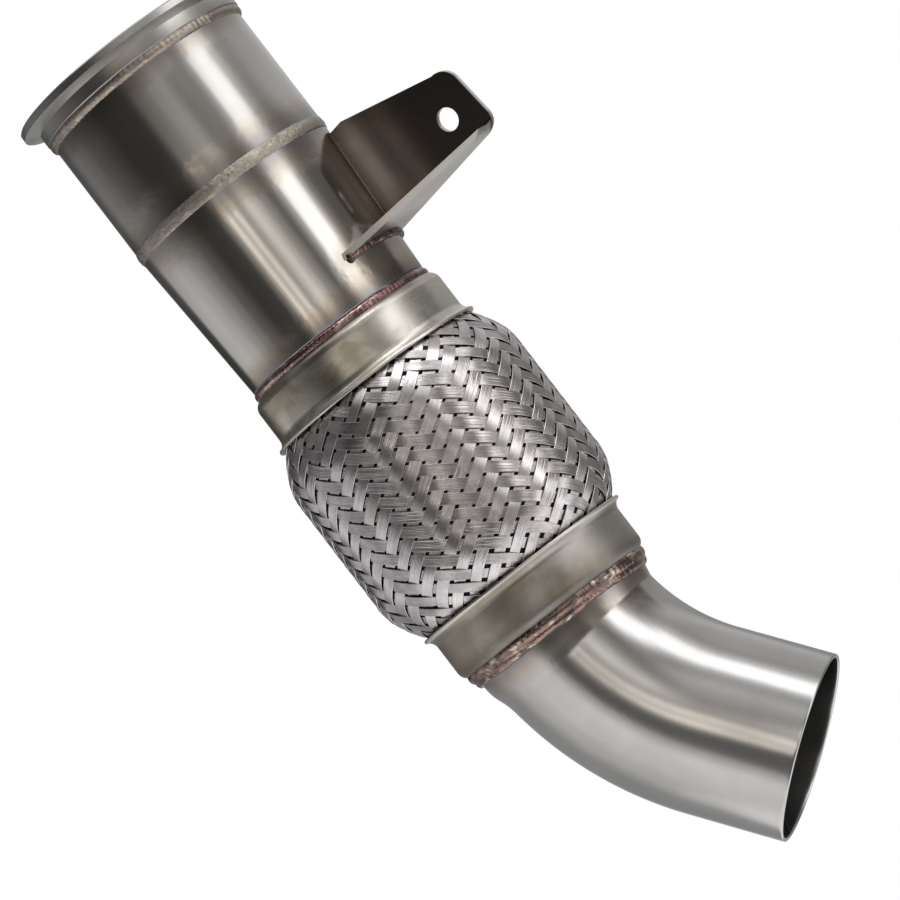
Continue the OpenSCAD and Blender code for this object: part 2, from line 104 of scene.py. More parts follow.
camera_data = bpy.data.cameras.new("camera")
camera_data.sensor_width = SENSOR_MM
camera_data.lens = FOCAL_PX / IMAGE_PX * SENSOR_MM
camera_data.clip_end = 50
camera = bpy.data.objects.new("camera", camera_data)
turn = Matrix((right, up, towards)).transposed()
camera.matrix_world = Matrix.Translation(aim + towards * DISTANCE) @ turn.to_4x4()
bpy.context.scene.collection.objects.link(camera)
bpy.context.scene.camera = camera
print("camera at", [round(v, 3) for v in camera.location], "lens", round(camera_data.lens, 1))

# %% [markdown]
# Every material and light below is a small net of shader nodes. Nodes can be placed and wired one line at a
# time, but three lines for each node hide what the net does. These helpers make a node, set it and wire it in
# one line, so a material reads from top to bottom as its recipe.

# %% Node helpers


def add(tree, kind, inputs=None, **settings):
    """New node with its settings and inputs; an input may be a value or another node's output."""
    item = tree.nodes.new(kind)
    for key, value in settings.items():
        setattr(item, key, value)
    for key, value in (inputs or {}).items():
        if isinstance(value, bpy.types.NodeSocket):
            tree.links.new(value, item.inputs[key])
        else:
            item.inputs[key].default_value = value
    return item


def math_node(tree, operation, *values):
    """Result of one sum on values or outputs."""
    return add(tree, "ShaderNodeMath", dict(enumerate(values)), operation=operation).outputs[0]


def empty_tree(owner):
    """Node tree of a material or a world, cleared."""
    owner.use_nodes = True
    owner.node_tree.nodes.clear()
    return owner.node_tree


print("node helpers ready")

# %% [markdown]
# ## The studio
# Polished metal is lit by what it reflects. A photographer stands it in a white sweep, with black cards and
# strip softboxes round it. The sweep here is the world and the floor. They could be lit until they are white,
# but that much light would flood the object. So they are white only to the camera, to mirror rays and to
# glass rays, and a plainer, dimmer pair of shaders gives the light that they shed.

# %% World and floor
scene = bpy.context.scene
scene.view_settings.view_transform = "Standard"


def show_white(tree, plain, white, output_kind):
    """Output that is white to camera, mirror and glass rays, and plain to the others."""
    light_path = add(tree, "ShaderNodeLightPath")
    seen = light_path.outputs["Is Camera Ray"]
    for other in ("Is Glossy Ray", "Is Transmission Ray"):
        seen = math_node(tree, "MAXIMUM", seen, light_path.outputs[other])
    both = add(tree, "ShaderNodeMixShader", {0: seen, 1: plain.outputs[0], 2: white.outputs[0]})
    add(tree, output_kind, {"Surface": both.outputs[0]})


world = bpy.data.worlds.new("studio")
scene.world = world
tree = empty_tree(world)
soft = add(tree, "ShaderNodeBackground", {"Color": (0.9, 0.92, 0.95, 1), "Strength": 0.55})
bright = add(tree, "ShaderNodeBackground", {"Color": (1, 1, 1, 1)})
show_white(tree, soft, bright, "ShaderNodeOutputWorld")

FLOOR_Z, FLOOR_HALF = -0.95, 6.0
corners = [(-1, -1), (1, -1), (1, 1), (-1, 1)]
floor_mesh = bpy.data.meshes.new("floor")
floor_mesh.from_pydata([(x * FLOOR_HALF, y * FLOOR_HALF, FLOOR_Z) for x, y in corners], [], [(0, 1, 2, 3)])
floor = bpy.data.objects.new("floor", floor_mesh)
scene.collection.objects.link(floor)
floor_paint = bpy.data.materials.new("pale_floor")
tree = empty_tree(floor_paint)
matt = add(tree, "ShaderNodeBsdfDiffuse", {"Color": (0.85, 0.85, 0.85, 1)})
glow = add(tree, "ShaderNodeEmission", {"Strength": 1})
show_white(tree, matt, glow, "ShaderNodeOutputMaterial")
floor_mesh.materials.append(floor_paint)
print("floor", -FLOOR_Z * 1000, "mm below the inlet's face")

# %% [markdown]
# The cards and softboxes could each be a plane or a lamp, but a bent pipe mirrors dozens of them. One tall
# round screen that the camera doesn't see holds them all instead. Its brightness runs through a colour ramp
# by the angle round the pipe, which gives long clean bands along it.
#
# Each band is an angle from the camera's side, a brightness and a warmth. Positive angles are on the right.
# The bright band near 50 degrees is the large softbox, the thin pair near the middle are lamp tubes, and the
# dark stretches are black cards. A real studio isn't the same all the way up: the cards on the left stand
# high and the ones on the right stand low, which makes the two families of braid ribbons light and dark in
# turn. So there are four lists, from the crown of the screen down to its foot, and the height blends them.

# %% Bands of the screen
CROWN_BANDS = [
    (-180, 0.50, 0), (-165, 0.10, 0), (-140, 0.08, 0), (-60, 0.03, 0.3), (-28, 0.05, 0.5),
    (-15, 0.14, 0.5), (0, 0.22, 0.5), (12, 0.45, 0.1), (26, 0.50, 0), (40, 0.26, 0.2), (49, 0.50, 0),
    (55, 1.75, 0), (72, 1.75, 0), (80, 0.70, 0), (94, 0.38, 0.1), (110, 0.45, 0), (165, 0.60, 0),
]
TOP_BANDS = [
    (-180, 0.50, 0), (-165, 0.10, 0), (-150, 0.10, 0), (-125, 0.26, 0), (-107, 0.21, 0), (-93, 0.13, 0),
    (-82, 0.10, 0.1), (-71, 0.066, 0.2), (-61, 0.043, 0.3), (-28, 0.05, 0.5), (-17, 0.19, 0.8),
    (-9, 0.26, 0.6), (-1, 0.42, 0.5), (8, 0.42, 0.5), (20, 0.24, 0.6), (34, 0.30, 0.5), (42, 0.50, 0),
    (48, 1.75, 0), (63, 1.75, 0), (71, 0.55, 0.2), (84, 0.35, 0.2), (110, 0.55, 0), (165, 0.60, 0),
]
MIDDLE_BANDS = [
    (-180, 0.80, 0), (-168, 0.20, 0), (-160, 0.04, 0), (-137, 0.06, 0), (-128, 0.62, 0), (-108, 0.70, 0),
    (-93, 0.60, 0), (-82, 0.43, 0), (-71, 0.28, 0.2), (-61, 0.14, 0.3), (-46, 0.055, 0.4),
    (-30, 0.07, 0.6), (-22, 0.36, 1), (-17.5, 1.50, 1), (-13, 0.60, 0.8), (-9, 1.35, 1), (-4, 0.48, 0.8),
    (7, 1.05, 0.5), (13, 0.75, 0.6), (20, 0.40, 0.6), (30, 0.16, 0.6), (38, 0.50, 0.4), (44, 1.85, 0),
    (58, 1.85, 0.1), (64, 0.65, 0.5), (70, 0.26, 1), (78, 0.13, 1), (108, 0.08, 1), (115, 0.34, 0.5),
    (145, 0.36, 0.3), (163, 0.30, 0.2), (172, 0.75, 0),
]
LOW_BANDS = [
    (-180, 0.60, 0), (-160, 0.30, 0), (-128, 0.34, 0), (-97, 0.60, 0), (-75, 0.76, 0), (-52, 0.84, 0),
    (-43, 0.55, 0), (-35, 0.14, 0.2), (-20, 0.12, 0.3), (-8, 0.20, 0.3), (5, 0.15, 0.5), (18, 0.12, 0.6),
    (26, 0.34, 1), (34, 0.30, 0.8), (44, 0.20, 0.5), (53, 0.60, 0.1), (60, 1.45, 0), (74, 1.50, 0),
    (82, 0.65, 0.1), (90, 0.25, 0.2), (110, 0.18, 0.3), (135, 0.18, 0.3), (160, 0.35, 0.1),
]
LOW_BLEND, TOP_BLEND, CROWN_BLEND = (-0.28, -0.20), (-0.04, 0.08), (0.10, 0.22)
for bands in (LOW_BANDS, MIDDLE_BANDS, TOP_BANDS, CROWN_BANDS):
    print(len(bands), "bands, the brightest", max(level for _, level, _ in bands))

# %% Colour helpers


def map_range(tree, value, start, end, low=0.0, high=1.0, **settings):
    """Value moved from the range start to end into the range low to high, and held there."""
    inputs = {"Value": value, "From Min": start, "From Max": end, "To Min": low, "To Max": high}
    return add(tree, "ShaderNodeMapRange", inputs, **settings).outputs[0]


def mix(tree, share, first, second, blend="MIX"):
    """Two colours mixed by a share."""
    inputs = {0: share, 6: first, 7: second}
    return add(tree, "ShaderNodeMix", inputs, data_type="RGBA", blend_type=blend).outputs[2]


def object_coords(tree):
    """Place on the piece itself, which stays put when the camera moves."""
    return add(tree, "ShaderNodeTexCoord").outputs["Object"]


def set_ramp(ramp, stops):
    """Gives a colour ramp its stops, each a place and a colour."""
    while len(ramp.elements) < len(stops):
        ramp.elements.new(0.5)
    for element, (where, colour) in zip(ramp.elements, stops):
        element.position = where
        element.color = (*colour, 1)


print("colour helpers ready")

# %% Reflection screen
SCREEN_GAIN = 2.0  # the ramps hold at most 1, so the screen glows this many times brighter
SCREEN_RADIUS, SCREEN_LOW, SCREEN_HIGH, SCREEN_SIDES = 1.0, -0.93, 2.2, 180
GREEN_LOSS, BLUE_LOSS = 0.07, 0.16  # what a warmth of 1 takes away


def band_ramp(tree, share, bands):
    """Colour of the screen at a share of the way round, from one list of bands."""
    node = add(tree, "ShaderNodeValToRGB", {0: share})
    node.color_ramp.interpolation = "EASE"
    stops = []
    for degrees, level, warm in bands:
        red = level / SCREEN_GAIN
        colour = (red, red * (1 - GREEN_LOSS * warm), red * (1 - BLUE_LOSS * warm))
        stops.append(((degrees + 180) / 360, colour))
    set_ramp(node.color_ramp, stops)
    return node.outputs[0]


directions = [(math.cos(2 * math.pi * i / SCREEN_SIDES), math.sin(2 * math.pi * i / SCREEN_SIDES))
              for i in range(SCREEN_SIDES)]
rims = [(SCREEN_RADIUS * x, SCREEN_RADIUS * y, z) for z in (SCREEN_LOW, SCREEN_HIGH) for x, y in directions]
quads = [(i, (i + 1) % SCREEN_SIDES, SCREEN_SIDES + (i + 1) % SCREEN_SIDES, SCREEN_SIDES + i)
         for i in range(SCREEN_SIDES)]
screen_mesh = bpy.data.meshes.new("reflection_screen")
screen_mesh.from_pydata(rims, [], quads)
screen = bpy.data.objects.new("reflection_screen", screen_mesh)
scene.collection.objects.link(screen)
screen.visible_camera = False
screen.visible_shadow = False

bands_paint = bpy.data.materials.new("softboxes_and_cards")
tree = empty_tree(bands_paint)
facing = (0, 0, math.radians(90 - AZIMUTH))
turned = add(tree, "ShaderNodeMapping", {"Vector": object_coords(tree), "Rotation": facing}).outputs[0]
split = add(tree, "ShaderNodeSeparateXYZ", {0: turned})
angle = math_node(tree, "ARCTAN2", split.outputs["Y"], split.outputs["X"])
share = map_range(tree, angle, -math.pi, math.pi)
colour = band_ramp(tree, share, LOW_BANDS)
for bands, (start, end) in ((MIDDLE_BANDS, LOW_BLEND), (TOP_BANDS, TOP_BLEND), (CROWN_BANDS, CROWN_BLEND)):
    colour = mix(tree, map_range(tree, split.outputs["Z"], start, end), colour, band_ramp(tree, share, bands))
glow = add(tree, "ShaderNodeEmission", {"Color": colour, "Strength": SCREEN_GAIN})
add(tree, "ShaderNodeOutputMaterial", {"Surface": glow.outputs[0]})
screen_mesh.materials.append(bands_paint)
print("screen", SCREEN_HIGH - SCREEN_LOW, "m tall")

# %% [markdown]
# The screen lights from all round, which alone would leave the object without a clear direction of light.
# A strong light could come from one lamp, but its reflection would burn a spot into the metal. So three
# large, weak area lamps stand outside the screen, whose shadow is switched off: a key on the right, a fill
# on the left, and a faint one behind, which keeps the far side from going black.

# %% Lamps


def softbox(name, angle_from_camera, height, reach, size, watts):
    """Area lamp at an angle round the pipe from the camera, aimed at the coupling."""
    a = math.radians(AZIMUTH + angle_from_camera)
    data = bpy.data.lights.new(name, "AREA")
    data.shape = "RECTANGLE"
    data.size, data.size_y = size
    data.energy = watts
    lamp = bpy.data.objects.new(name, data)
    lamp.location = (math.sin(a) * reach, -math.cos(a) * reach, height)
    lamp.rotation_euler = (Vector((0, 0, flex_z)) - lamp.location).to_track_quat("-Z", "Y").to_euler()
    lamp.visible_camera = False
    scene.collection.objects.link(lamp)
    print(name, [round(v, 2) for v in lamp.location], watts, "W")


softbox("key_softbox", 40, height=1.15, reach=1.1, size=(0.9, 0.9), watts=9)
softbox("fill_softbox", -95, height=1.0, reach=1.3, size=(1.0, 0.8), watts=5)
softbox("rear_softbox", 180, height=0.6, reach=1.5, size=(1.2, 1.2), watts=2)

# %% [markdown]
# ## Finishes
# Bare steel shows how it was made and what the welder's heat did to it. Several finishes share the same
# effects, so each effect is a node group with named sockets, built once and placed in each material with
# its own values. The Principled shader itself stays in each material, because an exporter looks for it there.

# %% Group helpers


def vector_node(tree, operation, inputs, result="Vector"):
    """Result of one sum on vectors; a length or a dot product comes out as Value."""
    return add(tree, "ShaderNodeVectorMath", inputs, operation=operation).outputs[result]


def noise_node(tree, place, scale, detail=2.0, roughness=0.5, distortion=0.0):
    """Value of a noise at a place."""
    inputs = {"Vector": place, "Scale": scale, "Detail": detail, "Roughness": roughness,
              "Distortion": distortion}
    return add(tree, "ShaderNodeTexNoise", inputs).outputs[0]


def new_group(name, inputs, outputs):
    """Node group with named sockets; returns the tree with its input and output nodes."""
    tree = bpy.data.node_groups.new(name, "ShaderNodeTree")
    for title, kind, default in inputs:
        socket = tree.interface.new_socket(title, in_out="INPUT", socket_type="NodeSocket" + kind)
        socket.default_value = default
    for title, kind in outputs:
        tree.interface.new_socket(title, in_out="OUTPUT", socket_type="NodeSocket" + kind)
    return tree, tree.nodes.new("NodeGroupInput"), tree.nodes.new("NodeGroupOutput")


def give_out(tree, output_node, results):
    """Wires a group's results to its outputs by name."""
    for title, socket in results.items():
        tree.links.new(socket, output_node.inputs[title])
    print("group", tree.name, "gives", ", ".join(results))


print("group helpers ready")

# %% [markdown]
# Drawn tube keeps fine lines along its length, sheet along its rolling direction, and spun or turned pieces
# have rings. Each could have its own texture. All three are the same noise squeezed in one direction,
# though, so one group serves them: its Stretch input says how fine the noise is along each axis. A second,
# broad noise gives the smudges of handling.

# %% Drawn grain
grain_group, group_in, group_out = new_group(
    "drawn_grain",
    [("Stretch", "Vector", (900, 900, 20)), ("Smudge Size", "Float", 22.0), ("Base Roughness", "Float", 0.22),
     ("Roughness Spread", "Float", 0.1)],
    [("Height", "Float"), ("Roughness", "Float"), ("Smudge", "Float")],
)
coords = object_coords(grain_group)
fine_at = vector_node(grain_group, "MULTIPLY", {0: coords, 1: group_in.outputs["Stretch"]})
fine = noise_node(grain_group, fine_at, 1.0, detail=5.0, roughness=0.65)
smudge = noise_node(grain_group, coords, group_in.outputs["Smudge Size"], detail=4.0, roughness=0.55,
                    distortion=0.6)
swing = math_node(grain_group, "SUBTRACT", smudge, 0.5)
lines = math_node(grain_group, "SUBTRACT", fine, 0.5)
both = math_node(grain_group, "ADD", swing, math_node(grain_group, "MULTIPLY", lines, 0.8))
rough = math_node(grain_group, "MULTIPLY_ADD", both, group_in.outputs["Roughness Spread"],
                  group_in.outputs["Base Roughness"])
give_out(grain_group, group_out, {"Height": fine, "Roughness": rough, "Smudge": smudge})

# %% [markdown]
# Pressed sheet is never quite round: it keeps shallow swells that bend the reflections. They could be moved
# into the mesh, but a bump is enough for waves of a few hundredths of a millimetre.

# %% Shallow swells
swell_group, group_in, group_out = new_group(
    "shallow_swells", [("Size", "Float", 18.0)], [("Height", "Float")])
swell = noise_node(swell_group, object_coords(swell_group), group_in.outputs["Size"], detail=1.0)
give_out(swell_group, group_out, {"Height": swell})

# %% [markdown]
# Heat colours, smoke and rubbed edges all follow a distance from something. It could be painted by hand as
# a map, but then every piece would need its own. Two groups measure it instead: one from a weld that runs
# round the pipe at a level, and one from a point or a straight weld.

# %% Distances


def level_distance(tree, level):
    """Distance in millimetres from a plane across the pipe."""
    height = add(tree, "ShaderNodeSeparateXYZ", {0: object_coords(tree)}).outputs["Z"]
    gap = math_node(tree, "ABSOLUTE", math_node(tree, "SUBTRACT", height, level))
    return math_node(tree, "MULTIPLY", gap, 1000.0)


ring_group, group_in, group_out = new_group(
    "ring_distance", [("Level", "Float", 0.0)], [("Distance mm", "Float")])
give_out(ring_group, group_out, {"Distance mm": level_distance(ring_group, group_in.outputs["Level"])})

line_group, group_in, group_out = new_group(
    "line_distance",
    [("Middle", "Vector", (0, 0, 0)), ("Along", "Vector", (0, 0, 0)), ("Half Length", "Float", 0.0)],
    [("Distance mm", "Float")],
)
along, half_length = group_in.outputs["Along"], group_in.outputs["Half Length"]
offset = vector_node(line_group, "SUBTRACT", {0: object_coords(line_group), 1: group_in.outputs["Middle"]})
run = vector_node(line_group, "DOT_PRODUCT", {0: offset, 1: along}, "Value")
low_end = math_node(line_group, "MULTIPLY", half_length, -1.0)
held = math_node(line_group, "MAXIMUM", math_node(line_group, "MINIMUM", run, half_length), low_end)
nearest = vector_node(line_group, "SCALE", {0: along, "Scale": held})
offset = vector_node(line_group, "SUBTRACT", {0: offset, 1: nearest})
length = vector_node(line_group, "LENGTH", {0: offset}, "Value")
give_out(line_group, group_out, {"Distance mm": math_node(line_group, "MULTIPLY", length, 1000.0)})


def use(tree, group, inputs):
    """Places a node group in a material."""
    return add(tree, "ShaderNodeGroup", inputs, node_tree=group)


def from_ring(level):
    """Distance from a weld round the pipe, for steel to place in its material."""
    return lambda tree: use(tree, ring_group, {"Level": level}).outputs["Distance mm"]


def from_line(middle, along=(0, 0, 0), half=0.0):
    """Distance from a point, or from a straight weld of a given half length."""
    inputs = {"Middle": tuple(middle), "Along": tuple(along), "Half Length": half}
    return lambda tree: use(tree, line_group, inputs).outputs["Distance mm"]


# %% [markdown]
# Stainless steel beside a weld grows an oxide film whose colour depends on how hot it got: brown grey next to
# the bead, then blue grey, then brown, then straw, then plain metal. A thin film shader could work the
# colours out, but a ramp is easier to match to a photograph. The group turns a distance into that colour and
# multiplies it over the metal, and a little noise makes the bands wander.

# %% Heat tint
FILM = [
    (0.0, (0.46, 0.39, 0.37)), (0.14, (0.40, 0.37, 0.38)), (0.27, (0.43, 0.43, 0.47)),
    (0.42, (0.56, 0.51, 0.48)), (0.62, (0.79, 0.71, 0.62)), (0.85, (0.96, 0.91, 0.85)), (1.0, (1, 1, 1)),
]
tint_group, group_in, group_out = new_group(
    "heat_tint",
    [("Metal", "Color", (0.6, 0.58, 0.55, 1)), ("Distance mm", "Float", 0.0), ("Reach mm", "Float", 10.0),
     ("Amount", "Float", 1.0)],
    [("Color", "Color"), ("Heat", "Float")],
)
wander = noise_node(tint_group, object_coords(tint_group), 90.0, detail=3.0)
shift = math_node(tint_group, "MULTIPLY_ADD", math_node(tint_group, "SUBTRACT", wander, 0.5), 0.7, 1.0)
ratio = math_node(tint_group, "DIVIDE", group_in.outputs["Distance mm"], group_in.outputs["Reach mm"])
ratio = math_node(tint_group, "MULTIPLY", ratio, shift)
film = add(tint_group, "ShaderNodeValToRGB", {0: ratio})
set_ramp(film.color_ramp, FILM)
coated = mix(tint_group, group_in.outputs["Amount"], group_in.outputs["Metal"], film.outputs[0], "MULTIPLY")
heat = map_range(tint_group, ratio, 0.0, 1.2, 1.0, 0.0, interpolation_type="SMOOTHSTEP")
give_out(tint_group, group_out, {"Color": coated, "Heat": heat})

# %% [markdown]
# Smoke from the welds has browned the collars in blotches, and the blotches thicken towards the side left
# of the camera, which is painted shade. The rims get a lighter band, a painted highlight for the glint of
# the rolled lip. Both could be painted as maps, but they are simple to describe: a noise that a slope along
# one direction thickens, and a narrow band at the rim's level. The two collars share the groups.

# %% Weld blotches with painted side shade, and painted rim highlights
SIDE_SHADE_SLOPE = 4.5
RIM_HIGHLIGHT_FULL_MM, RIM_HIGHLIGHT_NONE_MM = 0.35, 0.9
blotch_and_shade_group, group_in, group_out = new_group(
    "weld_blotches_and_side_shade", [("Shaded Side", "Vector", (-1, 0, 0))], [("Mask", "Float")])
coords = object_coords(blotch_and_shade_group)
blots = noise_node(blotch_and_shade_group, coords, 48.0, detail=3.0, roughness=0.6, distortion=0.5)
side = vector_node(blotch_and_shade_group, "DOT_PRODUCT", {0: coords, 1: group_in.outputs["Shaded Side"]}, "Value")
# The slope thickens the blotches towards one side: painted shade.
total = math_node(blotch_and_shade_group, "MULTIPLY_ADD", side, SIDE_SHADE_SLOPE, blots)
give_out(blotch_and_shade_group, group_out, {"Mask": map_range(blotch_and_shade_group, total, 0.40, 0.64)})

# A lighter band at the rim's level: a painted highlight.
rim_highlight_group, group_in, group_out = new_group("painted_rim_highlight", [("Level", "Float", 0.0)], [("Mask", "Float")])
from_rim = level_distance(rim_highlight_group, group_in.outputs["Level"])
give_out(rim_highlight_group, group_out, {"Mask": map_range(rim_highlight_group, from_rim, RIM_HIGHLIGHT_FULL_MM, RIM_HIGHLIGHT_NONE_MM, 1.0, 0.0)})

# %% [markdown]
# A weld bead's skin is never even. Scale and flux leave speckles, and the colour changes in patches along
# the run. One noise gives patches of a second colour, a finer one painted glints in a bright colour, and the
# finest the dark spots and the height of the pebbling. All are squeezed along the pipe, so the patches of a
# ring weld run with the bead. Painting them would allow a closer copy, but only of the side that a
# photograph shows.

# %% Weld skin
SQUEEZE = (1, 1, 2.6)
skin_group, group_in, group_out = new_group(
    "weld_skin",
    [("Body", "Color", (0.3, 0.2, 0.2, 1)), ("Patch", "Color", (0.5, 0.3, 0.28, 1)),
     ("Scale Spots", "Color", (0.08, 0.06, 0.06, 1)), ("Bright", "Color", (0.6, 0.5, 0.42, 1)),
     ("Patch Size", "Float", 120.0), ("Pebble Size", "Float", 1100.0), ("Spot Amount", "Float", 0.4)],
    [("Color", "Color"), ("Height", "Float"), ("Spots", "Float")],
)
squeezed = add(skin_group, "ShaderNodeMapping", {"Vector": object_coords(skin_group), "Scale": SQUEEZE})
coords = squeezed.outputs[0]
patch_size = group_in.outputs["Patch Size"]
patches = noise_node(skin_group, coords, patch_size, detail=3.0, distortion=0.8)
pebbles = noise_node(skin_group, coords, group_in.outputs["Pebble Size"], detail=4.0, roughness=0.6)
glints = noise_node(skin_group, coords, math_node(skin_group, "MULTIPLY", patch_size, 1.9))
spread_of_spots = math_node(skin_group, "MULTIPLY", group_in.outputs["Spot Amount"], 0.3)
spots = map_range(skin_group, pebbles, math_node(skin_group, "SUBTRACT", 0.72, spread_of_spots), 0.78)
colour = mix(skin_group, map_range(skin_group, patches, 0.42, 0.62), group_in.outputs["Body"],
             group_in.outputs["Patch"])
# Painted glints: small patches of the bright colour.
colour = mix(skin_group, map_range(skin_group, glints, 0.56, 0.68), colour, group_in.outputs["Bright"])
colour = mix(skin_group, spots, colour, group_in.outputs["Scale Spots"])
give_out(skin_group, group_out, {"Color": colour, "Height": pebbles, "Spots": spots})

# %% [markdown]
# The part is bare steel all over, as formed or as welded. Each piece could have its net of nodes written
# out, but two makers cover nearly all of them with less: `steel` is formed metal with grain, smudges and heat
# colour by the distance from its welds, and `weld_metal` is a bead's skin.

# %% Material makers


def principled(name, metallic=1.0):
    """New material with its node tree and its Principled shader."""
    mat = bpy.data.materials.new(name)
    mat.use_nodes = True
    shader = mat.node_tree.nodes["Principled BSDF"]
    shader.inputs["Metallic"].default_value = metallic
    return mat, mat.node_tree, shader


def bump(tree, shader, height, distance, below=None):
    """Adds a bump; below is a normal to build on."""
    inputs = {"Height": height, "Distance": distance, "Strength": 1.0}
    if below is not None:
        inputs["Normal"] = below
    result = add(tree, "ShaderNodeBump", inputs).outputs[0]
    tree.links.new(result, shader.inputs["Normal"])
    return result


def steel(name, metal, roughness, spread=0.1, stretch=(900, 900, 20), smudge_size=22.0, grain=0.01 * MM,
          wave=0.0, wave_size=18.0, heat=(), stain_and_shade=None, rim_highlight=None):
    """Bare metal. heat lists (distance, reach in mm, amount); stain_and_shade (stains or painted shade) and
    rim_highlight (a painted highlight) are (mask, colour).
    """
    mat, tree, shader = principled(name)
    marks = use(tree, grain_group, {"Stretch": stretch, "Smudge Size": smudge_size,
                                    "Base Roughness": roughness, "Roughness Spread": spread})
    dull = map_range(tree, marks.outputs["Smudge"], 0.35, 0.7, 1.0, 0.86)
    colour = mix(tree, 1.0, (*metal, 1), dull, "MULTIPLY")
    if stain_and_shade:
        mask, tone = stain_and_shade
        colour = mix(tree, mask(tree), colour, (*tone, 1), "MULTIPLY")
    if rim_highlight:
        mask, tone = rim_highlight
        colour = mix(tree, mask(tree), colour, (*tone, 1))
    rough = marks.outputs["Roughness"]
    normal = None
    for distance, reach, amount in heat:
        film = use(tree, tint_group, {"Metal": colour, "Distance mm": distance(tree), "Reach mm": reach,
                                      "Amount": amount})
        colour = film.outputs["Color"]
        rough = math_node(tree, "MULTIPLY_ADD", film.outputs["Heat"], 0.12 * amount, rough)
        normal = bump(tree, shader, film.outputs["Heat"], -0.3 * MM * amount, below=normal)
    tree.links.new(colour, shader.inputs["Base Color"])
    tree.links.new(rough, shader.inputs["Roughness"])
    if wave:
        swells = use(tree, swell_group, {"Size": wave_size}).outputs["Height"]
        normal = bump(tree, shader, swells, wave, below=normal)
    bump(tree, shader, marks.outputs["Height"], grain, below=normal)
    return mat


def weld_metal(name, body, patch, bright, spots, roughness, patch_size=120.0, pebble=1100.0, spot=0.4,
               depth=0.12 * MM):
    """Bead metal in four colours; spot is how far the spots spread, and depth how deep the pebbles are."""
    mat, tree, shader = principled(name)
    skin = use(tree, skin_group, {"Body": (*body, 1), "Patch": (*patch, 1), "Bright": (*bright, 1),
                                  "Scale Spots": (*spots, 1), "Patch Size": patch_size,
                                  "Pebble Size": pebble, "Spot Amount": spot})
    tree.links.new(skin.outputs["Color"], shader.inputs["Base Color"])
    rough = math_node(tree, "MULTIPLY_ADD", skin.outputs["Spots"], 0.3, roughness)
    tree.links.new(rough, shader.inputs["Roughness"])
    bump(tree, shader, skin.outputs["Height"], depth)
    return mat


def finish_nodes(material, *names):
    """Gives CAD nodes their finish."""
    for name in names:
        slots = nodes[name].data.materials
        slots.clear()
        slots.append(material)
    print(material.name, "on", ", ".join(names))


# %% [markdown]
# The bracket is one folded sheet whose flange and web are welded to the reducer's side. The heat tint needs
# the place and direction of those beads. They could be found by eye, but the bracket stands turned and
# leaning, so its own frame is worked out once here, and used again for the beads. The sensor boss on the
# far side gets its place in the same way.

# %% Places of the bracket and the boss
ARM_TURN, ARM_LEAN, EDGE_ANGLE = math.radians(-14.6), math.radians(6), math.radians(31)
FLANGE_RISE, WEB_OFFSET, SHEET = 37.8 * MM, 24 * MM, 2.5 * MM
ARM_REACH, ARM_CORNER = 92 * MM, 7 * MM
WEB_BACK = WEB_OFFSET + SHEET
bracket_z = flex_z + LIP_HALF + FLANGE_RISE
cone_r = reducer_radius(bracket_z)
root_x = math.sqrt(cone_r ** 2 - WEB_OFFSET ** 2)
bracket_frame = (Matrix.Rotation(ARM_TURN, 4, "Z") @ Matrix.Translation((root_x, 0, bracket_z))
                 @ Matrix.Rotation(-ARM_LEAN, 4, "Y") @ Matrix.Translation((-root_x, 0, 0)))
edge_gap = WEB_OFFSET - SHEET - ARM_CORNER - ARM_REACH * math.tan(EDGE_ANGLE)
tip_angle = math.asin(edge_gap * math.cos(EDGE_ANGLE) / cone_r) + EDGE_ANGLE
web_angle = math.asin(WEB_BACK / cone_r)
bracket_foot = bracket_frame @ Vector((cone_r, 0, 0))
bracket_side = (bracket_frame.to_3x3() @ Vector((0, 1, 0))).normalized()

BOSS_Z, BOSS_R, BOSS_TURN = -38 * MM, 13 * MM, math.radians(130)
boss_axis = Vector((math.cos(BOSS_TURN), math.sin(BOSS_TURN), 0))
boss_foot = boss_axis * inlet_r + Vector((0, 0, BOSS_Z))
print("bracket foot", [round(v, 4) for v in bracket_foot], "tip angle", round(math.degrees(tip_angle), 1))

# %% [markdown]
# The three pipes are drawn or spun stainless, bright enough to mirror the studio, with lines along the tube.
# They could share one material, but each has its own welds to be tinted by, and the outlet is whiter and a
# little duller than the inlet and the reducer. So each gets its own from the same maker.

# %% Pipe finishes
inlet_steel = steel(
    "inlet_tube_steel", (0.58, 0.56, 0.535), 0.14, spread=0.06, wave=0.12 * MM,
    heat=[(from_ring(seam_z), 13.0, 0.7), (from_ring(flange_back_z), 9.0, 0.6),
          (from_line(boss_foot), 26.0, 0.7)])
reducer_steel = steel(
    "reducer_steel", (0.60, 0.58, 0.55), 0.12, spread=0.06, wave=0.12 * MM,
    heat=[(from_ring(seam_z), 13.0, 0.7), (from_ring(upper_joint_z), 13.0, 0.9),
          (from_line(bracket_foot, bracket_side, 22 * MM), 10.0, 0.6)])
outlet_steel = steel(
    "outlet_tube_steel", (0.65, 0.64, 0.63), 0.17, spread=0.07, stretch=(700, 700, 60), wave=0.08 * MM,
    heat=[(from_ring(lower_joint_z), 15.0, 0.9)])
finish_nodes(inlet_steel, "inlet_pipe")
finish_nodes(reducer_steel, "reducer")

# %% [markdown]
# The collars are pressed from thinner, duller sheet, with rings round them from the tool. The lower one is
# given a darker colour than the upper one, which is painted shade. Copying one material and changing its
# colour would do, but a short table of what differs shows better what belongs to each collar.

# %% Collar finishes
LEFT_OF_CAMERA = (-math.cos(az), -math.sin(az), 0)
# Colour of the painted highlight at the collars' rims.
RIM_HIGHLIGHT_TONE = (0.78, 0.76, 0.71)


